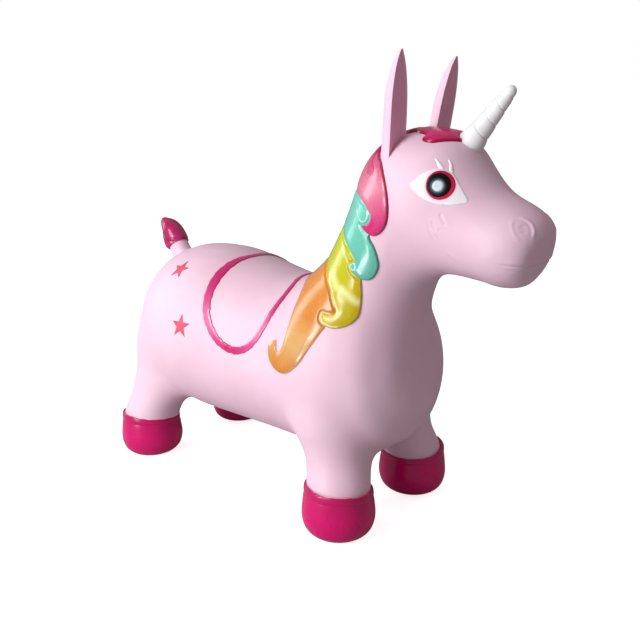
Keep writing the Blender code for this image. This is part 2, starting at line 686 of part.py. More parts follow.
def ear_rings(side, spare=0.0):
    """A leaf, flat in front and round behind, with a sharp edge down each side; spare makes it larger."""
    forward, out, up = EAR_PLACE_SHARES
    start = on_head(forward, side * out, up)
    rings = []
    for along, wide, deep in EAR_SHARES:
        foot = start + along * Vector((EAR_LEAN, side * EAR_SPLAY, EAR_LENGTH)) + Vector((spare, 0, 0))
        half, depth = wide * EAR_WIDTH / 2 + spare, deep * EAR_DEPTH + 2 * spare
        ring = [foot + Vector((-EAR_HOLLOW * deep * (1 - v * v), v * half, 0)) for v in EAR_FRONT_SHARES]
        turns = [math.pi * i / EAR_BACK_SIDES for i in range(EAR_BACK_SIDES)]
        ring += [foot + Vector((-depth * math.sin(turn), half * math.cos(turn), 0)) for turn in turns]
        rings.append(ring)
    return rings


def ears(seat, parts, cutters):
    """The two ears. Returns the rooms that the mane leaves for them."""
    rooms = []
    for hand, side in HANDS:
        ear = loft(f"ear_{hand}", ear_rings(side), parts)
        cut(ear, seat)
        paint(ear, "skin")
        rooms.append(as_cutter(loft(f"ear_{hand}_room", ear_rings(side, CLEARANCE), cutters)))
    return rooms


def horn(seat, parts, cutters):
    """A blunt cone leaning forward, with one groove winding up it. Returns the room it needs."""
    places, radii = zip(*HORN_SHARES)
    start = on_head(*HORN_PLACE_SHARES)
    stations = []
    for index in range(HORN_RINGS):
        along = index / (HORN_RINGS - 1)
        radius = HORN_RADIUS * float(np.interp(along, places, radii))
        stations.append((start.x + along * HORN_REACH, start.z + along * HORN_RISE, radius, radius))

    def groove(along, angle):
        return 1 - HORN_GROOVE_SHARE * max(0, math.cos(angle - HORN_TURNS * math.tau * along))
    thing = loft("horn", spine_rings(stations, HORN_SIDES, groove), parts)
    cut(thing, seat)
    paint(thing, "white")
    wider = [(x, z, thick + CLEARANCE, wide + CLEARANCE) for x, z, thick, wide in stations]
    return as_cutter(loft("horn_room", spine_rings(wider, HORN_SIDES), cutters))


def tail_tuft(seat, parts):
    def swirl(along, angle):
        return 1 + TAIL_LOBE_SHARE * math.cos(TAIL_LOBES * angle - TAIL_TWIST * along * TAIL_LOBES)
    tuft = loft("tail_tuft", spine_rings(tail_stations(TUFT_SHARES), TAIL_SIDES, swirl), parts)
    cut(tuft, seat)
    paint(tuft, "crimson")


def barrel_direction(angle, side):
    return Vector((0, side * math.sin(angle), math.cos(angle)))


def saddle_trim(form, seat, rooms, parts, cutters):
    """A raised line that loops over the back and down both flanks: a radial slab cut from the skin."""
    half = [(along_barrel(along), turn * math.pi / 2) for along, turn in SADDLE_SHARES]
    loop = rounded([(x, angle * BARREL_WIDTH / 2) for x, angle in half]
                   + [(x, -angle * BARREL_WIDTH / 2) for x, angle in reversed(half[1:-1])], 2)
    outer, inner = widened(loop, SADDLE_LINE / 2), widened(loop, -SADDLE_LINE / 2)
    rings = []
    for (x0, s0), (x1, s1) in zip(outer, inner):
        section = []
        for x, run, reach in ((x0, s0, BARREL_WIDTH / 4), (x0, s0, BARREL_WIDTH), (x1, s1, BARREL_WIDTH),
                              (x1, s1, BARREL_WIDTH / 4)):
            angle = run / (BARREL_WIDTH / 2)
            section.append(Vector((x, -reach * math.sin(angle), BARREL_AXIS + reach * math.cos(angle))))
        rings.append(section)
    trim = loft("saddle_trim", rings, parts, closed=True)
    cut(trim, grown(form, "trim_cover", CLEARANCE + TRIM, cutters), "INTERSECT")
    cut(trim, seat)
    for room in rooms:
        cut(trim, room)
    paint(trim, "pink")


def film(name, outline, place, reach, cover, seat, colour, rooms, parts, cutters):
    """A thin painted patch on the skin. Returns the room that neighbours leave for it."""
    patch = prism(name, outline, place, -reach, reach, parts)
    patch.hide_render = False
    patch.display_type = "TEXTURED"
    cut(patch, cover, "INTERSECT")
    cut(patch, seat)
    for room in rooms:
        cut(patch, room)
    paint(patch, colour)
    return prism(name + "_room", widened(np.array(outline), CLEARANCE), place, -reach, reach, cutters)


def disc(radius, u=0.0, v=0.0):
    turns = [math.tau * i / DISC_SIDES for i in range(DISC_SIDES)]
    return [(u + radius * math.cos(turn), v + radius * math.sin(turn)) for turn in turns]


def eyes(look, cover, seat, parts, cutters):
    reach = EYE_SIZE * FILM_REACH_SHARE
    for hand, side in HANDS:
        place = eye_place(look, side)
        white = rounded([(u * EYE_SIZE, v * EYE_SIZE) for u, v in EYE_WHITE_SHARES], 2)
        rings = [("eye_glint", "glint", disc(GLINT_RADIUS, -GLINT_BACK, -GLINT_DROP)),
                 ("pupil", "black", disc(PUPIL_RADIUS, -PUPIL_BACK)),
                 ("iris", "red", disc(IRIS_RADIUS)), ("eye_white", "white", white)]
        rooms = []
        for name, colour, outline in rings:
            room = film(f"{name}_{hand}", outline, place, reach, cover, seat, colour, rooms, parts, cutters)
            rooms = [room]
        for name, shares in LASH_SHARES.items():
            outline = rounded([(u * EYE_SIZE, v * EYE_SIZE) for u, v in shares], 2)
            film(f"lash_{name}_{hand}", outline, place, reach, cover, seat, "white", rooms, parts, cutters)


def stars(look, cover, seat, parts, cutters):
    outline = []
    for i in range(2 * STAR_POINTS):
        radius = STAR_RADIUS * (STAR_WAIST_SHARE if i % 2 else 1)
        turn = math.pi * i / STAR_POINTS
        outline.append((radius * math.sin(turn), radius * math.cos(turn)))
    for hand, side in HANDS:
        for number, (along, turn) in enumerate(STAR_SHARES, 1):
            start = (along_barrel(along), 0, BARREL_AXIS)
            point, normal = look(start, barrel_direction(turn * math.pi / 2, side))
            place = facing(point, normal, side)
            name = f"star_{hand}_{number}"
            film(name, outline, place, STAR_RADIUS, cover, seat, "coral", [], parts, cutters)


def valve_plug(face, parts):
    """The push-in air plug: a flange under the boss and a tapered stem up the bore."""
    nose = PLUG_LENGTH * PLUG_NOSE_SHARE
    tip = PLUG_RADIUS * PLUG_TIP_SHARE
    profile = [(0, PLUG_LENGTH), (tip, PLUG_LENGTH), (PLUG_RADIUS, PLUG_LENGTH - nose), (PLUG_RADIUS, 0),
               (PLUG_FLANGE_RADIUS, 0), (PLUG_FLANGE_RADIUS, -PLUG_FLANGE), (0, -PLUG_FLANGE)]
    place = (along_barrel(VALVE_PLACE_SHARE), 0, face - CLEARANCE)
    paint(turned("valve_plug", profile, place, DISC_SIDES, parts), "plug")


def build():
    remove_everything()
    parts = collection("bouncy_unicorn")
    cutters = collection("cutters")
    plain = body_form("plain_form", cutters)
    fine = with_stub(plain, "fine_form", cutters)
    form = thinned(fine, "form", OUTER_SHARE, cutters)
    seat = grown(form, "seat", CLEARANCE, cutters)
    cover = grown(form, "film_cover", CLEARANCE + PAINT, cutters)
    look = surface(form)
    face = body_skin(plain, form, look, parts, cutters)
    hooves(seat, parts)
    rooms = ears(seat, parts, cutters) + [horn(seat, parts, cutters)]
    tail_tuft(seat, parts)
    locks(fine, seat, rooms, parts, cutters)
    saddle_trim(form, seat, rooms[-1:], parts, cutters)
    eyes(look, cover, seat, parts, cutters)
    stars(look, cover, seat, parts, cutters)
    valve_plug(face, parts)


build()
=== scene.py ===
"""Looks of the bouncy unicorn: soft pink vinyl with a moulded, sprayed mane, hooves, face and saddle line.

The skin is melted from the same lofts as the solids, on a finer grid. Everything that is moulded on it or
painted over it is a patch that follows that skin. The mane's colours carry painted highlights, painted
reflections, painted sheen and painted shade, and the tail's colour painted shade in its grooves. Metres, +Z
up, +X towards the muzzle.
"""
import math

import bmesh
import bpy
import numpy as np
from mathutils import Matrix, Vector, geometry
from mathutils.bvhtree import BVHTree


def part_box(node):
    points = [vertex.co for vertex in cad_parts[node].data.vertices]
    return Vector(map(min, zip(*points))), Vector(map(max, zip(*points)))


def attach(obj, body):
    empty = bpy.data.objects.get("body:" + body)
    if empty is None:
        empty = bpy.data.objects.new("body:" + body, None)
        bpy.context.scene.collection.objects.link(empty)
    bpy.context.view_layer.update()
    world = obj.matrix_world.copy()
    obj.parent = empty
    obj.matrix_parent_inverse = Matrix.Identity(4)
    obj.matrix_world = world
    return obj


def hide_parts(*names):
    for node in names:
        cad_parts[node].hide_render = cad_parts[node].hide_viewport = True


# Sizes shared with the solids
BODY_LENGTH = 0.452
BARREL_HEIGHT = 0.230
BARREL_WIDTH = 0.230
BARREL_AXIS = 0.185
RUMP_X = -0.2885
NECK_RISE = 0.198
NECK_LEAN = 0.079
NECK_THICKNESS = 0.117
NECK_WIDTH = 0.122
HEAD_LENGTH = 0.2022
HEAD_DROP = 0.076
HEAD_HEIGHT = 0.130
HEAD_WIDTH = 0.128
LEG_RADIUS = 0.0375
LEG_TOP = 0.180
HOOF_RADIUS = 0.0430
HOOF_HEIGHT = 0.058
HOOF_TILT = 0.0040          # by which a hoof's rim is higher outside and lower inside
TAIL_REACH = 0.0475
TAIL_RISE = 0.0625
TAIL_RADIUS = 0.0172
EAR_LENGTH = 0.1126
EAR_LEAN = 0.0120
EAR_SPLAY = 0.0125
EAR_WIDTH = 0.0265
EAR_DEPTH = 0.0165
HORN_REACH = 0.0496
HORN_RISE = 0.0592
HORN_RADIUS = 0.0130
EYE_SIZE = 0.0570
EYE_FACING = (0.43, 0.82, 0.37)
IRIS_RADIUS = 0.0146
PUPIL_RADIUS = 0.0121
PUPIL_BACK = 0.0015
GLINT_RADIUS = 0.0055
GLINT_BACK = 0.0025
GLINT_DROP = 0.0010
NOSTRIL_FACING = (0.70, 0.45, 0.50)
NOSTRIL_SIZE = 0.0230
MOUTH_SWEEP = 1.15
MOUTH_FALL = 0.10
STAR_RADIUS = 0.0165
STAR_WAIST_SHARE = 0.42
BOSS_RADIUS = 0.0110
BORE_RADIUS = 0.0043
BORE_DEPTH = 0.0200
PLUG_RADIUS = 0.0040
PLUG_LENGTH = 0.0150
PLUG_FLANGE_RADIUS = 0.0085
PLUG_FLANGE = 0.0020
CLEARANCE = 0.0003

# Places along the barrel, over its axis, and on the head, in shares as in the solids
NECK_PLACE_SHARE = 0.8308
FRONT_HOOF_PLACE_SHARE = 0.8794
HIND_HOOF_PLACE_SHARE = 0.1097
TAIL_PLACE_SHARE = 0.0863
VALVE_PLACE_SHARE = 0.5155
NECK_FOOT_SHARE = 0.2652
TAIL_ROOT_SHARE = 0.3435
FRONT_TRACK_SHARE = 0.6413
HIND_TRACK_SHARE = 0.7370
HEAD_BACK_SHARES = (0.1456, 0.8081)
EAR_PLACE_SHARES = (0.2646, 0.2875, 0.0692)
HORN_PLACE_SHARES = (0.5455, 0.0, 0.2062)
EYE_PLACE_SHARES = (0.5752, 0.0, -0.0338)
NOSTRIL_PLACE_SHARES = (0.9896, 0.2203, -0.3015)
THROAT_SHARES = (0.527, 0.0, -0.692)
MOUTH_PLACE_SHARES = (0.7715, 0.0, -0.5615)
HANDS = (("right", -1), ("left", 1))

# Barrel: place along, axis height, half height, half width
BARREL_SHARES = [
    (0.002, 1.083, 0.200, 0.220), (0.030, 1.058, 0.530, 0.510), (0.093, 1.043, 0.820, 0.775),
    (0.192, 1.020, 0.970, 0.945), (0.314, 0.998, 1.008, 1.008), (0.447, 0.967, 0.950, 0.950),
    (0.580, 0.944, 0.896, 0.905), (0.712, 0.953, 0.910, 0.910), (0.803, 0.995, 0.975, 0.950),
    (0.872, 1.015, 0.950, 0.905), (0.956, 1.038, 0.770, 0.740), (1.000, 1.059, 0.420, 0.410)]
# Neck: lean, rise, half thickness, half width
NECK_SHARES = [
    (0.000, 0.000, 1.326, 1.474), (0.260, 0.200, 1.034, 1.120), (0.545, 0.454, 0.995, 1.000),
    (0.835, 0.673, 1.070, 1.038), (1.020, 0.861, 0.915, 0.925), (1.000, 0.990, 0.620, 0.590)]
# Head: place along, drop, half height, half width
HEAD_SHARES = [
    (0.010, 0.000, 0.39, 0.46), (0.105, 0.090, 0.73, 0.79), (0.250, 0.150, 0.975, 1.02),
    (0.430, 0.290, 1.075, 1.03), (0.570, 0.545, 0.84, 0.91), (0.700, 0.700, 0.70, 0.84),
    (0.880, 0.868, 0.69, 0.78), (0.990, 0.960, 0.51, 0.57)]
# Legs: height, radius, and the lean in x and y in radii
FRONT_LEG_SHARES = [(0.05, 0.66, 0.00, 0.00), (0.11, 0.97, 0.00, 0.00), (0.33, 1.045, 0.00, 0.00),
                    (0.50, 1.05, -0.32, -0.36), (0.72, 1.38, -0.66, -0.46), (1.00, 1.42, -0.66, -0.60)]
HIND_LEG_SHARES = [(0.05, 0.68, 0.00, 0.00), (0.11, 1.00, 0.00, 0.00), (0.33, 1.09, 0.00, 0.00),
                   (0.50, 1.12, 0.30, -0.32), (0.72, 1.10, 0.32, -0.58), (1.00, 1.20, 0.32, -0.75)]
# Hoof: radius, height, from the sole's edge to the lip
HOOF_SHARES = [(0.50, 0.00), (0.74, 0.045), (0.90, 0.15), (0.98, 0.30), (1.00, 0.46), (0.973, 0.68),
               (0.948, 0.81), (0.935, 0.86), (0.945, 0.91), (0.930, 0.98), (0.915, 1.00)]
# Ear: place, half width, depth
EAR_SHARES = [(0.00, 1.08, 1.10), (0.25, 1.02, 1.05), (0.46, 1.00, 1.00), (0.64, 0.93, 0.95),
              (0.78, 0.76, 0.80), (0.89, 0.52, 0.56), (0.96, 0.27, 0.32), (1.00, 0.08, 0.10)]
# Horn: place, radius
HORN_SHARES = [(0.00, 1.05), (0.20, 1.00), (0.26, 0.90), (0.42, 0.80), (0.60, 0.70), (0.80, 0.60),
               (0.92, 0.50), (0.97, 0.36), (1.00, 0.10)]
# Tail: back, up, radius
STUB_SHARES = [(0.00, 0.00, 0.88), (0.31, 0.33, 0.88), (0.48, 0.50, 0.84), (0.57, 0.59, 0.50)]
TUFT_SHARES = [(0.37, 0.39, 0.92), (0.41, 0.43, 1.00), (0.48, 0.50, 1.02), (0.63, 0.66, 0.93),
               (0.75, 0.76, 0.80), (0.87, 0.83, 0.63), (0.96, 0.89, 0.47), (1.00, 0.95, 0.33),
               (1.01, 0.99, 0.12)]
# Locks seen from the side, from the foot of the neck, in neck thicknesses and neck rises
PINK_SHARES = [(0.10, 1.10), (0.24, 1.00), (0.34, 0.945), (0.44, 0.905), (0.525, 0.865), (0.62, 0.77),
               (0.65, 0.68), (0.63, 0.60), (0.57, 0.54), (0.48, 0.508), (0.40, 0.52), (0.33, 0.558),
               (0.40, 0.567), (0.445, 0.60), (0.43, 0.63), (0.32, 0.68), (0.10, 0.735), (-0.20, 0.79),
               (-0.20, 1.10)]
TEAL_SHARES = [(-0.20, 0.84), (0.45, 0.80), (0.52, 0.64), (0.46, 0.545), (0.43, 0.50), (0.475, 0.455),
               (0.505, 0.40), (0.512, 0.35), (0.48, 0.30), (0.43, 0.272), (0.36, 0.27), (0.30, 0.287),
               (0.25, 0.312), (0.235, 0.345), (0.28, 0.367), (0.24, 0.40), (0.16, 0.44), (0.02, 0.505),
               (-0.16, 0.56), (-0.42, 0.61), (-0.42, 0.84)]
YELLOW_SHARES = [(-0.42, 0.70), (0.20, 0.60), (0.34, 0.36), (0.362, 0.25), (0.368, 0.19), (0.364, 0.12),
                 (0.355, 0.07), (0.32, 0.033), (0.27, 0.012), (0.21, 0.00), (0.145, 0.00), (0.08, 0.013),
                 (0.035, 0.032), (0.022, 0.055), (0.035, 0.077), (0.095, 0.073), (0.155, 0.078),
                 (0.155, 0.095), (0.115, 0.13), (0.058, 0.185), (0.00, 0.22), (-0.05, 0.255),
                 (-0.12, 0.295), (-0.26, 0.33), (-0.60, 0.38), (-0.60, 0.70)]
ORANGE_SHARES = [(-0.60, 0.52), (0.10, 0.40), (0.20, 0.12), (0.09, -0.01), (0.00, -0.12), (-0.10, -0.22),
                 (-0.26, -0.29), (-0.40, -0.285), (-0.51, -0.235), (-0.55, -0.16), (-0.47, -0.125),
                 (-0.41, -0.18), (-0.34, -0.14), (-0.355, 0.03), (-0.41, 0.155), (-0.66, 0.175),
                 (-0.76, 0.26), (-0.90, 0.52)]
# Lines painted on the locks, seen from the side, and half the width over which each fades out; most of them
# are painted highlights, painted reflections and painted shade
LOCK_LINES = {
    # The teal lock's pocket, curl and streak are mint painted highlights.
    "mane_lock_teal": {
        "pocket": ([(0.27, 0.64), (0.30, 0.605), (0.345, 0.578), (0.39, 0.582), (0.42, 0.605),
                    (0.418, 0.64)], 0.0011),
        "curl": ([(0.295, 0.350), (0.262, 0.352), (0.248, 0.334), (0.268, 0.317), (0.300, 0.322),
                  (0.300, 0.340)], 0.0011),
        "streak": ([(0.33, 0.318), (0.355, 0.305)], 0.0016)},
    # The yellow lock's glow and bar are painted reflections of a softbox, and its rim, hook and streak are
    # cream painted highlights; warm makes it a darker, warmer yellow along its right edge.
    "mane_lock_yellow": {
        "rim": ([(0.03, 0.232), (0.075, 0.193), (0.13, 0.138), (0.172, 0.094), (0.168, 0.082)], 0.0012),
        "hook": ([(0.036, 0.066), (0.036, 0.050), (0.055, 0.032), (0.09, 0.019), (0.15, 0.008),
                  (0.21, 0.008)], 0.0011),
        "streak": ([(0.10, 0.445), (0.16, 0.395), (0.21, 0.360), (0.235, 0.330)], 0.0017),
        "glow": ([(0.055, 0.272), (0.120, 0.215)], 0.0062),
        "bar": ([(0.185, 0.205), (0.330, 0.147)], 0.0056),
        "warm": ([(0.25, 0.345), (0.31, 0.275), (0.36, 0.18), (0.36, 0.10)], 0.0085)},
    # The orange lock's rim, curl and pocket are painted shade: along its right edge, in the curl's crease and
    # in the pocket under the yellow lock.
    "mane_lock_orange": {
        "rim": ([(0.05, 0.000), (0.005, -0.032), (-0.045, -0.088), (-0.100, -0.185),
                 (-0.145, -0.222)], 0.0006),
        "curl": ([(-0.515, -0.140), (-0.470, -0.140), (-0.430, -0.170), (-0.415, -0.200)], 0.0012),
        "pocket": ([(-0.03, 0.165), (-0.01, 0.120), (0.02, 0.085)], 0.0014)},
}
# Locks seen from above, from the ears' line, in head widths
POLL_SHARES = [(0.05, 0.00), (0.05, 0.125), (-0.12, 0.15), (-0.165, 0.24), (-0.16, 0.33), (-0.125, 0.385),
               (-0.075, 0.43), (-0.11, 0.45), (-0.17, 0.42), (-0.22, 0.33), (-0.24, 0.17), (-0.25, 0.00)]
FORELOCK_SHARES = [(0.43, 0.00), (0.43, 0.08), (0.47, 0.12), (0.33, 0.26), (0.22, 0.265), (0.21, 0.20),
                   (0.10, 0.16), (0.065, 0.11), (0.065, 0.00)]
# Eye outlines on the cheek, forward and up, in eye sizes
EYE_WHITE_SHARES = [(-0.52, 0.00), (-0.44, 0.10), (-0.29, 0.215), (-0.105, 0.28), (0.06, 0.27),
                    (0.205, 0.205), (0.36, -0.045), (0.465, -0.21), (0.475, -0.245), (0.42, -0.30),
                    (0.12, -0.34), (-0.13, -0.295), (-0.33, -0.195)]
LASH_SHARES = {
    "rear": [(-0.045, 0.285), (-0.10, 0.40), (-0.135, 0.48), (-0.05, 0.42), (0.04, 0.285)],
    "front": [(0.125, 0.25), (0.12, 0.36), (0.09, 0.46), (0.165, 0.39), (0.195, 0.225)],
}
NOSTRIL_SHARES = [(-0.13, -0.46), (-0.28, -0.26), (-0.35, 0.00), (-0.32, 0.28), (-0.17, 0.47), (0.06, 0.49),
                  (0.30, 0.38), (0.46, 0.18), (0.50, -0.10), (0.44, -0.40)]
NOSTRIL_BACK = (-0.28, 0.02)
NOSTRIL_HOLLOW_SHARES = [(0.04, 0.20), (0.08, 0.0), (0.10, -0.22)]
# Mouth: drop, width and height of its line and of the soft lips under and over it
MOUTH_LINES = ((0.0, 0.0010, -0.0008), (-0.0045, 0.0016, -0.0002), (0.0042, 0.0030, 0.0003))
# Creases behind the cheek, from the eye, in eye sizes, and how deep each is
CREASE_SHARES = [([(-0.12, -0.58), (-0.09, -0.66), (-0.03, -0.73)], 0.70),
                 ([(0.02, -0.46), (0.06, -0.56), (0.12, -0.66)], 0.60),
                 ([(-0.20, -0.50), (-0.14, -0.72), (-0.02, -0.92), (0.16, -1.10), (0.36, -1.24)], 0.30),
                 ([(-0.04, -0.74), (0.06, -0.92), (0.20, -1.06)], 0.20)]
# Stars and saddle line: place along the barrel, angle from the spine as a share of a right angle
STAR_SHARES = [(0.258, 0.43), (0.358, 0.85), (0.060, 0.88)]
SADDLE_SHARES = [(0.418, 0.00), (0.410, 0.20), (0.410, 0.40), (0.423, 0.60), (0.452, 0.76), (0.502, 0.885),
                 (0.560, 0.93), (0.610, 0.88), (0.641, 0.76), (0.654, 0.56), (0.653, 0.33), (0.622, 0.00)]
# Saddle line's width in full widths and its depth of colour at each of those places
SADDLE_LOOK_SHARES = [(0.70, 0.80), (1.00, 0.95), (1.20, 1.00), (1.05, 0.62), (0.95, 0.15), (0.92, 0.62),
                      (0.90, 1.00), (0.84, 0.55), (0.74, 0.25), (0.70, 0.70), (0.62, 0.90), (0.52, 0.80)]
SADDLE_LINE = 0.0120        # full width of the saddle line

# Fineness
BLEND_GRID = 0.0080
BLEND_PASSES = 14
FINE_GRID = 0.0040
FINE_PASSES = 14
SIDES = 28
OVERRUN = 0.060
THROAT_REACH = 0.050        # how far from the throat's corner the skin is filled and rounded
THROAT_FILL = (0.0070, 0.0, -0.0080)
THROAT_PASSES = 60

# Relief of what is moulded on the skin
LOCK_EDGE = 0.0023
LOCK_CROWN = 0.0036
LOCK_RIM = 0.0085
LAP_SHARE = 0.60
LOCK_LAP = 0.0030           # width over which a lock dips before the one that lies over it
SUNK = 0.0012               # by which a patch's skirt lies under the skin
TRIM = 0.0015
FILM = 0.0005
FILM_STEP = 0.00012         # between paints that lie on one another

# Widths and heights of the lines on the face
NOSTRIL_RIM_WIDTH = 0.0021
NOSTRIL_INNER_WIDTH = 0.0020
NOSTRIL_HOLLOW_WIDTH = 0.0045
NOSTRIL_HOLLOW_DEPTH = 0.0006
CREASE_WIDTH = 0.0018
CREASE_DEPTH = 0.0012
RIDGE_WIDTH = 0.0024
RIDGE_HEIGHT = 0.0005
RIDGE_OFFSET = (0.045, 0.012)
FACE_REACH = 0.0075         # how near a line of the face the skin is made finer

# Painted films
FILM_GRID = 0.0016
FILM_INSET = 0.0005         # over which a film's edge is rounded down
FILM_SUNK = 0.00025
FILM_SKIRT = 0.0007

# Forms that are turned or swirled
ROUND_SIDES = 48
VALVE_BEVEL = 0.0005
BOSS_WALL = 0.006
HOOF_SIDES = 120
HOOF_RAGGED = 0.0007        # height of the uneven paint line round a hoof's lip
HOOF_WAVES = ((3, 1, 0.6), (5, 2, 0.4), (13, 1, 0.30), (23, 3, 0.22))
EAR_ACROSS = (-1, -0.8, -0.55, -0.25, 0, 0.25, 0.55, 0.8)
EAR_BACK_STEPS = 22
EAR_DISH = 0.0022
HORN_STEPS = 150
HORN_SIDES = 64
HORN_TURNS = 5
HORN_SLIM = 0.16            # by which the horn is slimmer at its tip than in the solids
HORN_GROOVE = (0.085, 0.04)
HORN_BULGE = (0.03, 0.30)
HORN_TIP_SHARE = 0.90
TAIL_SIDES = 72
TAIL_LOBES = 3
TAIL_TWIST = 7.2
TAIL_SWELL = 0.15
TAIL_SHRINK = 0.11

# Camera
CAMERA_PLACE = (0.5944, -0.6452, 0.4539)
CAMERA_AZIMUTH = 41.98
CAMERA_ELEVATION = 14.93
CAMERA_LENS = 40.44

# Studio: lights by place, size, power and tint; the white that the camera sees, and what lights the object
LIGHTS = {"key": ((-0.32, -1.73, 1.16), (0.9, 0.9), 35, (0.95, 0.985, 1.0)),
          "kicker": ((-1.72, -0.55, 0.80), (0.6, 0.9), 8, (0.95, 0.985, 1.0)),
          "strip": ((-0.28, -1.40, 0.13), (0.26, 0.24), 5, (0.97, 0.99, 1.0))}
LIGHT_TARGET = (0.0, 0.0, 0.20)
ROOM_LIGHT = 0.37
ROOM_TINT = (1.0, 0.90, 0.93, 1)
FLOOR_RADIUS = 40
FLOOR_GLOW = 0.80

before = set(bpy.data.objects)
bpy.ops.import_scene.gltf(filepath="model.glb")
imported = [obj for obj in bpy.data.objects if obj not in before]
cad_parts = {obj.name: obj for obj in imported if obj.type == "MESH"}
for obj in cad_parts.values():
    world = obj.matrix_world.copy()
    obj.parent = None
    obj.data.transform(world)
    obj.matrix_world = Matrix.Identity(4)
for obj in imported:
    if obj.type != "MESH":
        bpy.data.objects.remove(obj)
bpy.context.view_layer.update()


# Small helpers

def along_barrel(share):
    return RUMP_X + share * BODY_LENGTH


def neck_foot():
    return along_barrel(NECK_PLACE_SHARE), BARREL_AXIS + NECK_FOOT_SHARE * BARREL_HEIGHT


def on_head(along, out, up):
    """A point of the head from shares of its length, width and height."""
    foot_x, foot_z = neck_foot()
    lean, rise = HEAD_BACK_SHARES
    return Vector((foot_x + lean * NECK_LEAN + along * HEAD_LENGTH, out * HEAD_WIDTH,
                   foot_z + rise * NECK_RISE + up * HEAD_HEIGHT))


def smooth_step(value, low, high):
    share = np.clip((value - low) / (high - low), 0, 1)
    return share * share * (3 - 2 * share)


def turns_of(count):
    return [math.tau * i / count for i in range(count)]


def turned(x, profile):
    """Rings round an upright axis at x, one for each radius and height."""
    turns = turns_of(ROUND_SIDES)
    return [[Vector((x + radius * math.cos(turn), radius * math.sin(turn), z)) for turn in turns]
            for radius, z in profile]


def numbers_of(elements, key, width, kind=float):
    """One property of every vertex or edge of a mesh, as rows of numbers."""
    values = np.empty(len(elements) * width, dtype=kind)
    elements.foreach_get(key, values)
    return values.reshape(-1, width)


def spline(points, steps, closed=True):
    """A Catmull-Rom curve through points of any dimension."""
    points = np.array(points, float)
    count = len(points)
    result = []
    for i in range(count if closed else count - 1):
        if closed:
            a, b, c, d = (points[(i + k - 1) % count] for k in range(4))
        else:
            a, b, c, d = (points[min(max(i + k - 1, 0), count - 1)] for k in range(4))
        for step in range(steps):
            t = step / steps
            result.append(0.5 * (2 * b + (c - a) * t + (2 * a - 5 * b + 4 * c - d) * t ** 2
                                 + (3 * b - a - 3 * c + d) * t ** 3))
    if not closed:
        result.append(points[-1])
    return np.array(result)


def depth_inside(outline, places):
    """How far each place lies inside a closed outline; negative outside."""
    starts, ends = outline, np.roll(outline, -1, axis=0)
    run = ends - starts
    offset = places[:, None, :] - starts[None]
    share = np.clip((offset * run).sum(2) / (run ** 2).sum(1), 0, 1)
    nearest = np.linalg.norm(offset - share[..., None] * run, axis=2).min(1)
    x, z = places[:, :1], places[:, 1:]
    crosses = (starts[:, 1] > z) != (ends[:, 1] > z)
    reach = starts[:, 0] + (z - starts[:, 1]) * run[:, 0] / np.where(run[:, 1] == 0, 1e-12, run[:, 1])
    inside = (crosses & (x < reach)).sum(1) % 2 == 1
    return np.where(inside, nearest, -nearest)


def distance_to(line, places):
    """Distance of each place from an open line of points, and how far along it the nearest point lies."""
    line = np.array(line, float)
    starts, run = line[:-1], line[1:] - line[:-1]
    offset = places[:, None, :] - starts[None]
    share = np.clip((offset * run).sum(2) / (run ** 2).sum(1), 0, 1)
    gaps = np.linalg.norm(offset - share[..., None] * run, axis=2)
    best = gaps.argmin(1)
    rows = np.arange(len(places))
    return gaps[rows, best], (best + share[rows, best]) / len(run)


def add_loft(bm, rings, cap=True):
    rows = [[bm.verts.new(point) for point in ring] for ring in rings]
    count = len(rows[0])
    for low, high in zip(rows, rows[1:]):
        for i in range(count):
            j = (i + 1) % count
            bm.faces.new((low[i], low[j], high[j], high[i]))
    if cap:
        bm.faces.new(list(reversed(rows[0])))
        bm.faces.new(rows[-1])


def spine_rings(stations, sides=SIDES, relief=None):
    """Oval rings square to a spine in the x-z plane; a station is (x, z, half thickness, half width)."""
    rings = []
    last = len(stations) - 1
    for index, (x, z, thick, wide) in enumerate(stations):
        before, after = stations[max(index - 1, 0)], stations[min(index + 1, last)]
        along = Vector((after[0] - before[0], 0, after[1] - before[1])).normalized()
        up = Vector((-along.z, 0, along.x))
        ring = []
        for step in range(sides):
            angle = math.tau * step / sides
            scale = relief(index / last, angle) if relief else 1
            offset = up * (thick * math.cos(angle)) + Vector((0, wide * math.sin(angle), 0))
            ring.append(Vector((x, 0, z)) + offset * scale)
        rings.append(ring)
    return rings


def piece(name, bm, smooth=True, sharp=None):
    """An object from a bmesh, with outward normals and smooth faces but for edges past the sharp angle."""
    bmesh.ops.recalc_face_normals(bm, faces=bm.faces)
    mesh = bpy.data.meshes.new(name)
    bm.to_mesh(mesh)
    bm.free()
    return finish_piece(name, mesh, smooth, sharp)


def lofted(name, rings, sharp=None):
    bm = bmesh.new()
    add_loft(bm, rings)
    return piece(name, bm, sharp=sharp)


def finish_piece(name, mesh, smooth=True, sharp=None):
    if smooth:
        mesh.shade_smooth()
    if sharp:
        mesh.set_sharp_from_angle(angle=math.radians(sharp))
    thing = bpy.data.objects.new(name, mesh)
    bpy.context.scene.collection.objects.link(thing)
    return thing


def tag(thing, name, values):
    """Keep one number for each vertex, which the piece's material reads."""
    layer = thing.data.attributes.new(name, "FLOAT", "POINT")
    layer.data.foreach_set("value", np.asarray(values, np.float32))


def dress(thing, material, nodes=(), body="body"):
    """Give a piece its material, slot and body, and hide the solids it stands for."""
    thing.data.materials.clear()
    thing.data.materials.append(material)
    if nodes:
        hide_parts(*nodes)
    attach(thing, body)


def modified(thing, kind, **settings):
    """Apply one modifier to an object's mesh."""
    modifier = thing.modifiers.new(kind.title(), kind)
    for key, value in settings.items():
        setattr(modifier, key, value)
    graph = bpy.context.evaluated_depsgraph_get()
    mesh = bpy.data.meshes.new_from_object(thing.evaluated_get(graph))
    thing.modifiers.clear()
    thing.data = mesh
    return thing


# Materials

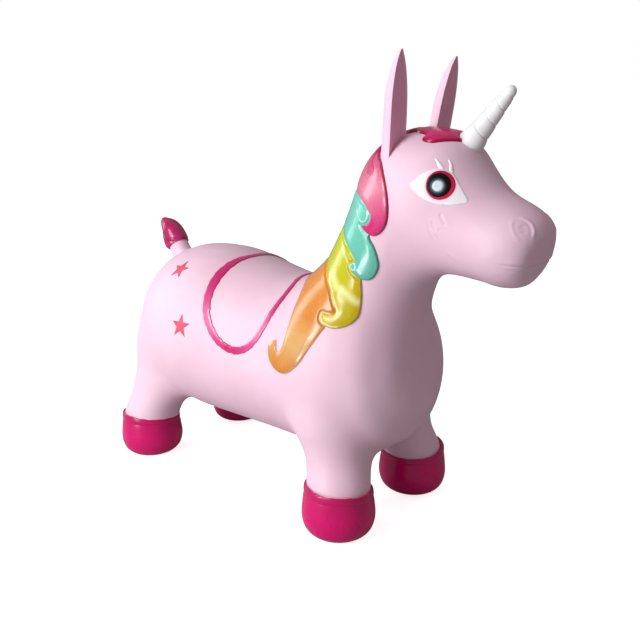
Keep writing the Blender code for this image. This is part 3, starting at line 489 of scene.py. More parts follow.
class Nodes:
    """A node material built line by line."""

    def __init__(self, name, **shader):
        self.material = bpy.data.materials.new(name)
        self.material.use_nodes = True
        self.tree = self.material.node_tree
        self.shader = self.tree.nodes["Principled BSDF"]
        self.coordinates = self.add("ShaderNodeTexCoord").outputs["Object"]
        for key, value in shader.items():
            self.shader.inputs[key.replace("_", " ")].default_value = value

    def add(self, kind, **settings):
        node = self.tree.nodes.new(kind)
        for key, value in settings.items():
            setattr(node, key, value)
        return node

    def link(self, source, target):
        self.tree.links.new(source, target)

    def noise(self, scale, detail=3.0, rough=0.5):
        node = self.add("ShaderNodeTexNoise")
        node.inputs["Scale"].default_value = scale
        node.inputs["Detail"].default_value = detail
        node.inputs["Roughness"].default_value = rough
        self.link(self.coordinates, node.inputs["Vector"])
        return node.outputs["Fac"]

    def spread(self, source, low, high, to_low=0.0, to_high=1.0):
        node = self.add("ShaderNodeMapRange", clamp=True)
        for key, value in (("From Min", low), ("From Max", high), ("To Min", to_low), ("To Max", to_high)):
            node.inputs[key].default_value = value
        self.link(source, node.inputs["Value"])
        return node.outputs["Result"]

    def math(self, operation, first, second):
        node = self.add("ShaderNodeMath", operation=operation)
        for socket, value in zip(node.inputs, (first, second)):
            if isinstance(value, (int, float)):
                socket.default_value = value
            else:
                self.link(value, socket)
        return node.outputs[0]

    def attribute(self, name):
        return self.add("ShaderNodeAttribute", attribute_name=name).outputs["Fac"]

    def along(self, direction):
        node = self.add("ShaderNodeVectorMath", operation="DOT_PRODUCT")
        node.inputs[1].default_value = direction
        self.link(self.coordinates, node.inputs[0])
        return node.outputs["Value"]

    def ramp(self, source, stops):
        node = self.add("ShaderNodeValToRGB")
        bar = node.color_ramp
        while len(bar.elements) < len(stops):
            bar.elements.new(0.5)
        for element, (place, colour) in zip(bar.elements, stops):
            element.position = place
            element.color = (*colour, 1)
        self.link(source, node.inputs["Fac"])
        return node.outputs["Color"]

    def mix(self, share, first, second, kind="MIX"):
        node = self.add("ShaderNodeMix", data_type="RGBA", blend_type=kind)
        for index, value in ((0, share), (6, first), (7, second)):
            socket = node.inputs[index]
            if isinstance(value, (int, float)):
                socket.default_value = value
            elif isinstance(value, tuple):
                socket.default_value = (*value, 1)
            else:
                self.link(value, socket)
        return node.outputs[2]

    def colour(self, source):
        self.link(source, self.shader.inputs["Base Color"])

    def speckle(self, scale, detail, to_low=0.0, to_high=1.0):
        return self.spread(self.noise(scale, detail), 0.3, 0.7, to_low, to_high)

    def grain(self, scale, low, high):
        """A roughness that wanders between two values."""
        self.link(self.speckle(scale, 3, low, high), self.shader.inputs["Roughness"])

    def bump(self, source, distance, strength=1.0):
        node = self.add("ShaderNodeBump")
        node.inputs["Distance"].default_value = distance
        node.inputs["Strength"].default_value = strength
        self.link(source, node.inputs["Height"])
        self.link(node.outputs["Normal"], self.shader.inputs["Normal"])


def vinyl(name, base, deep, roughness, blush=0.0):
    """Satin vinyl: a faint cloudiness, a fine moulded grain and a roughness that varies with both.

    blush is how much rosier it is where the piece's value front is 1.
    """
    nodes = Nodes(name, Specular_IOR_Level=0.7)
    cloud = nodes.spread(nodes.noise(14, 2), 0.35, 0.70)
    share = nodes.math("MULTIPLY", cloud, nodes.spread(nodes.noise(120, 4), 0.3, 0.8, 0.6, 1.0))
    colour = nodes.mix(share, base, deep)
    if blush:
        cover = nodes.spread(nodes.attribute("front"), 0.4, 1.0, 0.0, blush)
        colour = nodes.mix(cover, colour, (0.74, 0.22, 0.38))
    nodes.colour(colour)
    nodes.grain(60, roughness - 0.05, roughness + 0.06)
    nodes.bump(nodes.noise(1400, 2), 0.00010, 0.35)
    return nodes.material


def gloss(name, stops, direction, low, high, rim=None, rim_width=0.002, roughness=0.24, wobble=0.06, lines=(),
          sheen=0.3):
    """Sprayed gloss paint that shades from one colour to the next, darker or paler along its rim.

    lines holds, for each painted line, most of them painted highlights, painted reflections and painted
    shade, its piece's value, where it is full, where it ends, colour and cover.
    """
    nodes = Nodes(name, Specular_IOR_Level=sheen, Coat_Weight=0.40, Coat_Roughness=0.20)
    place = nodes.spread(nodes.along(direction), low, high)
    wave = nodes.spread(nodes.noise(32, 2), 0.25, 0.75, -wobble, wobble)
    colour = nodes.ramp(nodes.math("ADD", place, wave), stops)
    # Painted lines: on the locks most are painted highlights, painted reflections and painted shade.
    for key, full, end, tint, cover in lines:
        gap = nodes.math("ADD", nodes.attribute(key), nodes.speckle(160, 2, -0.0003, 0.0003))
        colour = nodes.mix(nodes.spread(gap, full, end, cover, 0.0), colour, tint)
    # A darker rim is painted shade along the piece's edge; a paler one is a painted highlight.
    if rim:
        edge = nodes.math("ADD", nodes.attribute("depth"), nodes.speckle(150, 2, -0.0004, 0.0004))
        colour = nodes.mix(nodes.spread(edge, rim_width * 0.4, rim_width, 0.85, 0.0), colour, rim)
    nodes.colour(colour)
    nodes.grain(90, roughness - 0.04, roughness + 0.06)
    nodes.bump(nodes.noise(260, 1), 0.00010, 0.12)
    return nodes.material


def flat_paint(name, base, deep, roughness, scale=220):
    nodes = Nodes(name, Specular_IOR_Level=0.5)
    nodes.colour(nodes.mix(nodes.spread(nodes.noise(scale, 3), 0.3, 0.75), base, deep))
    nodes.grain(300, roughness - 0.04, roughness + 0.06)
    nodes.bump(nodes.noise(900, 2), 0.00008, 0.3)
    return nodes.material


# The skin

def leg_rings(x, y, shares):
    side = math.copysign(1, y)
    rings = []
    for rise, wide, dx, dy in shares:
        centre = Vector((x + dx * LEG_RADIUS, y + side * dy * LEG_RADIUS, rise * LEG_TOP))
        rings.append([centre + wide * LEG_RADIUS * Vector((math.cos(turn), math.sin(turn), 0))
                      for turn in turns_of(SIDES)])
    return rings


def legs():
    for end, place, track, shares in (("front", FRONT_HOOF_PLACE_SHARE, FRONT_TRACK_SHARE, FRONT_LEG_SHARES),
                                      ("hind", HIND_HOOF_PLACE_SHARE, HIND_TRACK_SHARE, HIND_LEG_SHARES)):
        for hand, side in HANDS:
            yield f"{end}_{hand}", along_barrel(place), side * track * BARREL_WIDTH / 2, shares


def tail_stations(shares):
    x, z = along_barrel(TAIL_PLACE_SHARE), BARREL_AXIS + TAIL_ROOT_SHARE * BARREL_HEIGHT
    return [(x - back * TAIL_REACH, z + up * TAIL_RISE, wide * TAIL_RADIUS, wide * TAIL_RADIUS)
            for back, up, wide in shares]


def melted_skin():
    """Lofts for barrel, neck, head, legs and tail stub, melted into one smooth surface."""
    neck_x, neck_z = neck_foot()
    back = on_head(0, 0, 0)
    barrel = [(along_barrel(along), high * BARREL_AXIS, tall * BARREL_HEIGHT / 2, wide * BARREL_WIDTH / 2)
              for along, high, tall, wide in BARREL_SHARES]
    neck = [(neck_x + lean * NECK_LEAN, neck_z + rise * NECK_RISE, thick * NECK_THICKNESS / 2,
             wide * NECK_WIDTH / 2) for lean, rise, thick, wide in NECK_SHARES]
    head = [(back.x + along * HEAD_LENGTH, back.z - drop * HEAD_DROP, tall * HEAD_HEIGHT / 2,
             wide * HEAD_WIDTH / 2) for along, drop, tall, wide in HEAD_SHARES]
    bm = bmesh.new()
    for stations in (barrel, neck, head):
        add_loft(bm, spine_rings(stations))
    for _, x, y, shares in legs():
        add_loft(bm, leg_rings(x, y, shares))
    form = piece("body", bm)
    modified(form, "REMESH", mode="VOXEL", voxel_size=BLEND_GRID)
    modified(form, "SMOOTH", factor=0.5, iterations=BLEND_PASSES)
    bm = bmesh.new()
    bm.from_mesh(form.data)
    add_loft(bm, spine_rings(tail_stations(STUB_SHARES)))
    bm.to_mesh(form.data)
    bm.free()
    modified(form, "REMESH", mode="VOXEL", voxel_size=FINE_GRID)
    modified(form, "SMOOTH", factor=0.5, iterations=FINE_PASSES)
    fill_throat(form)
    modified(form, "SUBSURF", levels=1, render_levels=1)
    return form


def fill_throat(form):
    """Push the hollow corner between head and neck out, and round it."""
    centre = on_head(*THROAT_SHARES)
    mesh = form.data
    points = numbers_of(mesh.vertices, "co", 3)
    pairs = numbers_of(mesh.edges, "vertices", 2, int)
    gap = np.hypot(points[:, 0] - centre.x, points[:, 2] - centre.z)
    share = 1 - smooth_step(gap, 0.2 * THROAT_REACH, THROAT_REACH)
    points = points + share[:, None] * np.array(THROAT_FILL)
    pairs = pairs[(share[pairs] > 0).any(1)]
    ends = np.concatenate([pairs[:, 0], pairs[:, 1]])
    others = np.concatenate([pairs[:, 1], pairs[:, 0]])
    number = np.maximum(np.bincount(ends, minlength=len(points)), 1)
    for _ in range(THROAT_PASSES):
        middle = np.stack([np.bincount(ends, points[others, axis], len(points)) for axis in range(3)], axis=1)
        middle /= number[:, None]
        points = points + (middle - points) * (0.5 * share)[:, None]
    mesh.vertices.foreach_set("co", points.ravel())
    mesh.update()


class Skin:
    """The skin's points, normals and faces, and a way to look places up on it."""

    def __init__(self, thing):
        mesh = thing.data
        self.points = numbers_of(mesh.vertices, "co", 3)
        self.normals = numbers_of(mesh.vertices, "normal", 3)
        self.faces = [tuple(face.vertices) for face in mesh.polygons]
        self.tree = BVHTree.FromPolygons([Vector(p) for p in self.points], self.faces)

    def look(self, origin, direction):
        """The point where a ray meets the skin, and the smooth normal there."""
        point, _, index, _ = self.tree.ray_cast(Vector(origin), Vector(direction))
        corners = self.faces[index]
        weights = np.array([1 / (1e-6 + (Vector(self.points[i]) - point).length) for i in corners])
        normal = (self.normals[list(corners)] * weights[:, None]).sum(0)
        return point, Vector(normal).normalized()


def facing(origin, normal, side):
    """Axes on the skin: u forward, v up, w along the outward normal. side -1 is the right-hand side."""
    w = Vector(normal).normalized()
    u = Vector((0, 0, 1)).cross(w).normalized() * -side
    v = w.cross(u) * -side
    return lambda a, b, c: Vector(origin) + u * a + v * b + w * c


def on_skin(skin, place, outline):
    inward = (place(0, 0, -1) - place(0, 0, 0)).normalized()
    return [skin.look(place(u, v, OVERRUN), inward) for u, v in outline]


def eye_place(skin, side):
    point = skin.look(on_head(*EYE_PLACE_SHARES), (0, side, 0))[0]
    return facing(point, (EYE_FACING[0], side * EYE_FACING[1], EYE_FACING[2]), side)


def face_lines(skin):
    """Every line of the face: points on the skin, width, and how far it stands out, or in if negative."""
    lines = []

    def draw(place, shares, size, width, height):
        lines.append(([point for point, _ in on_skin(skin, place, shares * size)], width, height))
    inside = on_head(*MOUTH_PLACE_SHARES)
    for drop, width, height in MOUTH_LINES:
        start = inside + Vector((0, 0, drop))
        sweep = [MOUTH_SWEEP * i / 12 for i in range(-12, 13)]
        ways = [(math.cos(turn), math.sin(turn), -MOUTH_FALL * math.cos(turn)) for turn in sweep]
        lines.append(([skin.look(start, way)[0] for way in ways], width, height))
    for _, side in HANDS:
        forward, out, up = NOSTRIL_PLACE_SHARES
        ahead, outward, upward = NOSTRIL_FACING
        place = facing(on_head(forward, side * out, up), (ahead, side * outward, upward), side)
        for shares, height in ((NOSTRIL_SHARES[:5], 0.0004), (NOSTRIL_SHARES[5:], 0.0008)):
            shares = spline(shares, 4, False)
            draw(place, shares + NOSTRIL_BACK, NOSTRIL_SIZE, NOSTRIL_RIM_WIDTH, height)
            draw(place, shares * 0.80 + NOSTRIL_BACK, NOSTRIL_SIZE, NOSTRIL_INNER_WIDTH, -0.5 * height)
        hollow = np.array(NOSTRIL_HOLLOW_SHARES)
        draw(place, hollow + NOSTRIL_BACK, NOSTRIL_SIZE, NOSTRIL_HOLLOW_WIDTH, -NOSTRIL_HOLLOW_DEPTH)
        eye = eye_place(skin, side)
        for shares, depth in CREASE_SHARES:
            shares = spline(shares, 4, False)
            draw(eye, shares, EYE_SIZE, CREASE_WIDTH, -CREASE_DEPTH * depth)
            draw(eye, shares + RIDGE_OFFSET, EYE_SIZE, RIDGE_WIDTH, RIDGE_HEIGHT * depth)
    return lines


def sculpt_face(form, lines):
    """Refine the skin near the face's lines and press them in, or raise them."""
    bm = bmesh.new()
    bm.from_mesh(form.data)
    centres = np.array([face.calc_center_median() for face in bm.faces])
    near = np.full(len(centres), 1.0)
    for points, _, _ in lines:
        path = np.array(points)
        box = ((centres > path.min(0) - 0.01) & (centres < path.max(0) + 0.01)).all(1)
        if box.any():
            near[box] = np.minimum(near[box], distance_to(path, centres[box])[0])
    bm.faces.ensure_lookup_table()
    edges = {edge for index in np.nonzero(near < FACE_REACH)[0] for edge in bm.faces[index].edges}
    bmesh.ops.subdivide_edges(bm, edges=list(edges), cuts=2, use_grid_fill=True)
    bm.normal_update()
    points = np.array([vert.co for vert in bm.verts])
    normals = np.array([vert.normal for vert in bm.verts])
    height = np.zeros(len(points))
    for line, width, amount in lines:
        path = np.array(line)
        box = np.nonzero(((points > path.min(0) - 0.015) & (points < path.max(0) + 0.015)).all(1))[0]
        gap, along = distance_to(path, points[box])
        taper = smooth_step(np.minimum(along, 1 - along), 0, 0.16)
        height[box] += amount * np.exp(-(gap / width) ** 2) * (0.15 + 0.85 * taper)
    moved = points + normals * height[:, None]
    for vert, place in zip(bm.verts, moved):
        vert.co = place
    bm.to_mesh(form.data)
    bm.free()


def open_valve(form, face_z):
    """Take the skin away inside the valve's boss, and join the boss with its blind bore to the mesh."""
    x = along_barrel(VALVE_PLACE_SHARE)
    bm = bmesh.new()
    bm.from_mesh(form.data)
    hidden = []
    for face in bm.faces:
        middle = face.calc_center_median()
        if middle.z < BARREL_AXIS / 2 and math.hypot(middle.x - x, middle.y) < BOSS_RADIUS * 0.75:
            hidden.append(face)
    bmesh.ops.delete(bm, geom=hidden, context="FACES")
    bevel_z = face_z + VALVE_BEVEL
    profile = [(BOSS_RADIUS, face_z + BOSS_WALL), (BOSS_RADIUS, bevel_z), (BOSS_RADIUS - VALVE_BEVEL, face_z),
               (BORE_RADIUS + VALVE_BEVEL, face_z), (BORE_RADIUS, bevel_z),
               (BORE_RADIUS, face_z + BORE_DEPTH)]
    rows = [[bm.verts.new(point) for point in ring] for ring in turned(x, profile)]
    for low, high in zip(rows, rows[1:]):
        for i in range(ROUND_SIDES):
            j = (i + 1) % ROUND_SIDES
            bm.faces.new((low[j], low[i], high[i], high[j]))
    bm.faces.new(list(reversed(rows[-1])))
    bm.to_mesh(form.data)
    bm.free()


# Patches that follow the skin

def closed_shell(name, top, bottom, faces):
    """A closed mesh from a patch, a copy of it lower down and a wall along its border."""
    count = len(top)
    edges = {}
    for face in faces:
        for a, b in zip(face, face[1:] + face[:1]):
            edges[(a, b)] = edges.get((a, b), 0) + 1
    rows = [list(face) for face in faces]
    rows += [[i + count for i in reversed(face)] for face in faces]
    rows += [[b, a, a + count, b + count] for a, b in edges if (b, a) not in edges]
    mesh = bpy.data.meshes.new(name)
    mesh.from_pydata([tuple(p) for p in top] + [tuple(p) for p in bottom], [], rows)
    mesh.validate()
    return finish_piece(name, mesh)


def patch(name, skin, depth_of, height_of, margin=0.0026, cuts=2, details=None):
    """A raised patch of the skin, every face of it split by the cuts.

    depth_of(points) is how far each lies inside the patch's outline, and height_of(points, depth) how high
    the patch stands there. details gives, by name, the distance of points from a painted line and the line's
    width (on the locks these lines are mostly painted highlights, painted reflections and painted shade); the
    patch is split once more there and keeps the distance.
    """
    depth = depth_of(skin.points)
    inside = depth > -margin
    chosen = [face for face in skin.faces if all(inside[i] for i in face)]
    used = sorted({i for face in chosen for i in face})
    number = {old: new for new, old in enumerate(used)}
    bm = bmesh.new()
    for i in used:
        bm.verts.new(skin.points[i])
    bm.verts.ensure_lookup_table()
    for face in chosen:
        bm.faces.new([bm.verts[number[i]] for i in face])
    layer = bm.verts.layers.float_vector.new("skin_normal")
    for i in used:
        bm.verts[number[i]][layer] = skin.normals[i]
    bmesh.ops.subdivide_edges(bm, edges=bm.edges[:], cuts=cuts, use_grid_fill=True)
    if details:
        bm.verts.index_update()
        points = np.array([vert.co for vert in bm.verts])
        near = np.min([gap_of(points) - width for gap_of, width in details.values()], axis=0)
        edges = {edge for face in bm.faces if min(near[v.index] for v in face.verts) < 0
                 for edge in face.edges}
        bmesh.ops.subdivide_edges(bm, edges=list(edges), cuts=1, use_grid_fill=True)
    bm.verts.index_update()
    points = np.array([vert.co for vert in bm.verts])
    normals = np.array([vert[layer] for vert in bm.verts])
    normals /= np.linalg.norm(normals, axis=1)[:, None]
    faces = [tuple(vert.index for vert in face.verts) for face in bm.faces]
    bm.free()
    deep = depth_of(points)
    high = height_of(points, deep)
    thing = closed_shell(name, points + normals * high[:, None], points - normals * (2 * SUNK), faces)
    tag(thing, "depth", np.concatenate([deep, deep]))
    for key, (gap_of, _) in (details or {}).items():
        gaps = gap_of(points)
        tag(thing, key, np.concatenate([gaps, gaps]))
    return thing


def film(name, skin, place, outline, height, centre=(0.0, 0.0)):
    """A thin painted patch: a flat outline carried onto the skin, its edge rounded down into it.

    The piece keeps how far each point lies from the centre, as its value reach.
    """
    outline = np.array(outline)
    lengths = np.linalg.norm(np.roll(outline, -1, axis=0) - outline, axis=1)
    ring = []
    for start, end, length in zip(outline, np.roll(outline, -1, axis=0), lengths):
        parts = max(1, int(length / FILM_GRID))
        ring += [start + (end - start) * i / parts for i in range(parts)]
    ring = np.array(ring)
    ahead, behind = np.roll(ring, -1, axis=0), np.roll(ring, 1, axis=0)
    along = ahead - behind
    along /= np.linalg.norm(along, axis=1)[:, None]
    area = np.sum(ring[:, 0] * ahead[:, 1] - ahead[:, 0] * ring[:, 1])
    outward = np.stack([along[:, 1], -along[:, 0]], axis=1) * np.sign(area)
    inner = ring - outward * FILM_INSET
    inner = inner[depth_inside(ring, inner) > FILM_INSET * 0.6]
    low, high = ring.min(0), ring.max(0)
    grid = np.array([(x, y) for y in np.arange(low[1], high[1], FILM_GRID * 0.87)
                     for x in np.arange(low[0], high[0], FILM_GRID)])
    grid = grid[depth_inside(ring, grid) > FILM_INSET + FILM_GRID * 0.5]
    flat = [Vector(p) for p in np.concatenate([ring, inner, grid])]
    verts, _, faces, _, _, _ = geometry.delaunay_2d_cdt(flat, [], [list(range(len(ring)))], 1, 1e-7)
    flat = np.array([tuple(v) for v in verts])
    hits = on_skin(skin, place, flat)
    points = np.array([tuple(point) for point, _ in hits])
    normals = np.array([tuple(normal) for _, normal in hits])
    rise = -FILM_SUNK + (height + FILM_SUNK) * smooth_step(depth_inside(ring, flat), -1e-5, FILM_INSET)
    thing = closed_shell(name, points + normals * rise[:, None], points - normals * FILM_SKIRT,
                         [tuple(face) for face in faces])
    reach = np.hypot(flat[:, 0] - centre[0], flat[:, 1] - centre[1])
    tag(thing, "reach", np.concatenate([reach, reach]))
    return thing


# The pieces

def lock_outlines():
    """Each lock's outline and the two axes it is drawn in, from the top one down."""
    line = on_head(*EAR_PLACE_SHARES).x
    x, z = neck_foot()
    result = []
    for name, half in (("forelock", FORELOCK_SHARES), ("mane_lock_poll", POLL_SHARES)):
        whole = half + [(u, -v) for u, v in reversed(half) if v]
        result.append((name, spline([(line + u * HEAD_WIDTH, v * HEAD_WIDTH) for u, v in whole], 6), (0, 1)))
    for colour, shares in (("pink", PINK_SHARES), ("teal", TEAL_SHARES), ("yellow", YELLOW_SHARES),
                           ("orange", ORANGE_SHARES)):
        outline = spline([(x + u * NECK_THICKNESS, z + v * NECK_RISE) for u, v in shares], 6)
        result.append(("mane_lock_" + colour, outline, (0, 2)))
    return result


def make_locks(skin, materials):
    floor = on_head(0, 0, 0).z
    neck_x, neck_z = neck_foot()
    above = []
    for name, outline, axes in lock_outlines():
        def depth_of(points, outline=outline, axes=axes):
            depth = np.full(len(points), -1.0)
            low, high = outline.min(0) - 0.01, outline.max(0) + 0.01
            flat = points[:, list(axes)]
            near = ((flat > low) & (flat < high)).all(1)
            if axes == (0, 1):
                near &= points[:, 2] > floor
            near = np.nonzero(near)[0]
            depth[near] = depth_inside(outline, flat[near])
            return depth

        def height_of(points, depth, above=tuple(above), lobe=name.endswith("poll")):
            rise = np.clip(depth / LOCK_RIM, 0, 1)
            high = LOCK_EDGE + (LOCK_CROWN - LOCK_EDGE) * np.sin(rise * math.pi / 2)
            high = np.where(lobe, LOCK_CROWN + 0.0003, high)
            for other in above:
                away = -other(points)
                high = high * (LAP_SHARE + (1 - LAP_SHARE) * smooth_step(away, 0.0, LOCK_LAP))
                high = np.where(away < -0.0020, -SUNK, high)
            return -SUNK + (high + SUNK) * smooth_step(depth, -0.0010, 0.0013)
        details = {}
        for key, (line, width) in LOCK_LINES.get(name, {}).items():
            path = spline([(neck_x + u * NECK_THICKNESS, neck_z + v * NECK_RISE) for u, v in line], 4, False)
            details[key] = (lambda points, path=path: distance_to(path, points[:, (0, 2)])[0], width)
        thing = patch(name + "_relief", skin, depth_of, height_of, details=details)
        material, slot = materials[name]
        dress(thing, material, [name])
        if not name.endswith("poll"):
            above.append(depth_of)


def make_saddle_line(skin, material):
    """The raised line round the seat, drawn in the barrel's length and girth, wider and deeper behind."""
    radius = BARREL_WIDTH / 2
    half = [(along_barrel(along), turn * math.pi / 2 * radius, wide, deep)
            for (along, turn), (wide, deep) in zip(SADDLE_SHARES, SADDLE_LOOK_SHARES)]
    loop = half + [(x, -run, wide, deep) for x, run, wide, deep in reversed(half[1:-1])]
    loop = spline(loop, 6)
    loop = np.concatenate([loop, loop[:1]])

    def read(points):
        turn = np.arctan2(-points[:, 1], points[:, 2] - BARREL_AXIS)
        flat = np.stack([points[:, 0], turn * radius], axis=1)
        gap, along = np.full(len(points), 1.0), np.zeros(len(points))
        low, high = loop[:, :2].min(0) - 0.02, loop[:, :2].max(0) + 0.02
        near = np.nonzero(((flat > low) & (flat < high)).all(1) & (points[:, 2] > BARREL_AXIS * 0.6))[0]
        gap[near], along[near] = distance_to(loop[:, :2], flat[near])
        place = along * (len(loop) - 1)
        width = np.interp(place, np.arange(len(loop)), loop[:, 2]) * SADDLE_LINE
        width = width * (1 + 0.05 * np.sin(place * 1.9) + 0.04 * np.sin(place * 3.3 + 1))
        return width / 2 - gap, np.interp(place, np.arange(len(loop)), loop[:, 3])

    def height_of(points, depth):
        high = TRIM * (0.65 + 0.35 * smooth_step(depth, 0.0004, 0.0040))
        return -SUNK + (high + SUNK) * smooth_step(depth, -0.0006, 0.0008)
    thing = patch("saddle_line", skin, lambda points: read(points)[0], height_of, margin=0.0022, cuts=3)
    tag(thing, "deep", read(numbers_of(thing.data.vertices, "co", 3))[1])
    dress(thing, material, ["saddle_trim"])


def make_hooves(material):
    stations = [(0.02, 0.0), (0.30, 0.0)] + spline(HOOF_SHARES, 5, False).tolist()
    stations += [(0.895, 1.003), (0.86, 0.99), (0.80, 0.93)]
    for name, x, y, _ in legs():
        phase = x * 40 + y * 25
        outer = math.copysign(1, y)
        rings = []
        for wide, rise in stations:
            grow = max(0.0, min(1.0, (rise - 0.35) / 0.65))
            ring = []
            for turn in turns_of(HOOF_SIDES):
                wave = sum(high * math.sin(count * turn + shift * phase) for count, shift, high in HOOF_WAVES)
                lift = grow * (HOOF_RAGGED * wave * grow ** 3 + HOOF_TILT * outer * math.sin(turn))
                reach = wide * HOOF_RADIUS
                ring.append(Vector((x + reach * math.cos(turn), y + reach * math.sin(turn),
                                    max(rise * HOOF_HEIGHT + lift, 0))))
            rings.append(ring)
        dress(lofted(f"hoof_{name}_shell", rings), material, [f"hoof_{name}"])


def make_ears(material):
    back_turns = [math.pi * i / EAR_BACK_STEPS for i in range(EAR_BACK_STEPS)]
    for hand, side in HANDS:
        forward, out, up = EAR_PLACE_SHARES
        start = on_head(forward, side * out, up)
        rings = []
        for along, wide, deep in spline(EAR_SHARES, 5, False):
            along, wide, deep = min(float(along), 1.0), max(float(wide), 0.05), max(float(deep), 0.06)
            foot = start + along * Vector((EAR_LEAN, side * EAR_SPLAY, EAR_LENGTH))
            half, depth, dish = wide * EAR_WIDTH / 2, deep * EAR_DEPTH, EAR_DISH * deep
            ring = [foot + Vector((-dish * (1 - v * v), v * half, 0)) for v in EAR_ACROSS]
            ring += [foot + Vector((-depth * math.sin(turn), half * math.cos(turn), 0))
                     for turn in back_turns]
            rings.append(ring)
        ear = lofted(f"ear_{hand}_leaf", rings, sharp=42)
        tag(ear, "front", np.tile([1.0] * len(EAR_ACROSS) + [0.0] * EAR_BACK_STEPS, len(rings)))
        dress(ear, material, [f"ear_{hand}"])


def make_horn(material):
    places, radii = zip(*HORN_SHARES)
    start = on_head(*HORN_PLACE_SHARES)
    top = np.arange(HORN_STEPS) / (HORN_STEPS - 1)
    radii = HORN_RADIUS * np.interp(top, places, radii) * (1 - HORN_SLIM * top ** 2)
    kernel = np.hanning(13) / np.hanning(13).sum()
    radii[6:-6] = np.convolve(radii, kernel, "same")[6:-6]
    cap = np.clip((top - HORN_TIP_SHARE) / (1 - HORN_TIP_SHARE), 0, 1)
    tip = np.interp(HORN_TIP_SHARE, top, radii) * np.sqrt(np.clip(1 - cap ** 2.2, 0.002, 1))
    radii = np.where(top > HORN_TIP_SHARE, tip, radii)
    stations = [(start.x + along * HORN_REACH, start.z + along * HORN_RISE, radius, radius)
                for along, radius in zip(top.tolist(), radii.tolist())]

    def groove(along, angle):
        turn = (angle / math.tau - HORN_TURNS * along) % 1.0
        fade = max(0.0, min(1.0, (0.93 - along) / 0.06))
        (cut, narrow), (bulge, broad) = HORN_GROOVE, HORN_BULGE
        hollow = cut * math.exp(-(min(turn, 1 - turn) / narrow) ** 2)
        return 1 - fade * (hollow - bulge * math.exp(-((turn - 0.35) / broad) ** 2))
    horn = lofted("horn_spiral", spine_rings(stations, HORN_SIDES, groove))
    dress(horn, material, ["horn"])


def make_tail(material):
    stations = spline(TUFT_SHARES, 12, False).tolist()
    count = len(stations)

    def lobe(along, angle):
        return abs(math.sin((TAIL_LOBES * angle - TAIL_TWIST * along + 0.6) / 2))

    def swirl(along, angle):
        rim = max(0.0, min(1.0, along / 0.08))
        end = 1.0 if along < 0.93 else (1 - along) / 0.07
        return 1 + rim * end * (TAIL_SWELL * lobe(along, angle) ** 0.6 - TAIL_SHRINK)
    tuft = lofted("tail_tuft_swirl", spine_rings(tail_stations(stations), TAIL_SIDES, swirl))
    # The lobe value falls towards zero in the grooves, where the tail's material paints shade.
    tag(tuft, "lobe", [lobe(i / (count - 1), turn) for i in range(count) for turn in turns_of(TAIL_SIDES)])
    dress(tuft, material, ["tail_tuft"])


def make_eyes(skin, materials):
    def disc(radius, u=0.0, v=0.0):
        turns = np.arange(72) / 72 * math.tau
        return np.stack([u + radius * np.cos(turns), v + radius * np.sin(turns)], axis=1)
    glint = (-GLINT_BACK, -GLINT_DROP)
    jobs = [("eye_white", spline(EYE_WHITE_SHARES, 6) * EYE_SIZE, 0, (0, 0)),
            ("iris", disc(IRIS_RADIUS), 1, (0, 0)),
            ("pupil", disc(PUPIL_RADIUS, -PUPIL_BACK), 2, glint),
            ("eye_glint", disc(GLINT_RADIUS, *glint), 3, glint)]
    for name, shares in LASH_SHARES.items():
        jobs.append((f"lash_{name}", spline(shares, 6) * EYE_SIZE, 1, (0, 0)))
    for hand, side in HANDS:
        place = eye_place(skin, side)
        for name, outline, layer, centre in jobs:
            thing = film(f"{name}_{hand}_film", skin, place, outline, FILM + layer * FILM_STEP, centre)
            material, slot = materials["lash" if name.startswith("lash") else name]
            dress(thing, material, [f"{name}_{hand}"])


def make_stars(skin, material):
    outline = []
    for i, turn in enumerate(turns_of(10)):
        radius = STAR_RADIUS * (STAR_WAIST_SHARE if i % 2 else 1)
        outline.append((radius * math.sin(turn), radius * math.cos(turn)))
    for hand, side in HANDS:
        for number, (along, turn) in enumerate(STAR_SHARES, 1):
            angle = turn * math.pi / 2
            start = (along_barrel(along), 0, BARREL_AXIS)
            point, normal = skin.look(start, (0, side * math.sin(angle), math.cos(angle)))
            thing = film(f"star_{hand}_{number}_film", skin, facing(point, normal, side), outline, FILM)
            dress(thing, material, [f"star_{hand}_{number}"])


def make_plug(face_z, material):
    """The air plug: a flange with a low rise in its middle, and a stem with two sealing ribs up the bore."""
    x = along_barrel(VALVE_PLACE_SHARE)
    base = face_z - CLEARANCE
    low = base - PLUG_FLANGE
    r, s, n = PLUG_FLANGE_RADIUS, PLUG_RADIUS, PLUG_LENGTH
    profile = [(0.001, low + 0.0006), (0.0035, low + 0.0006), (0.0045, low + 0.0001), (r - 0.0006, low),
               (r - 0.0001, low + 0.0003), (r, low + 0.001), (r - 0.0002, base - 0.0002), (r - 0.0008, base),
               (s + 0.0002, base), (s - 0.0004, base + 0.0006), (s - 0.0004, base + n * 0.30),
               (s, base + n * 0.36), (s - 0.0004, base + n * 0.44), (s - 0.0004, base + n * 0.56),
               (s, base + n * 0.62), (s - 0.0005, base + n * 0.72), (s * 0.75, base + n * 0.97),
               (s * 0.60, base + n), (0.001, base + n)]
    plug = lofted("valve_plug_stopper", turned(x, profile), sharp=50)
    dress(plug, material, ["valve_plug"], "valve_plug")


# Looks

PINK_BASE = (0.715, 0.492, 0.588)
PINK_DEEP = (0.680, 0.438, 0.535)
CRIMSON = (0.54, 0.001, 0.115)
CRIMSON_DEEP = (0.28, 0.001, 0.035)


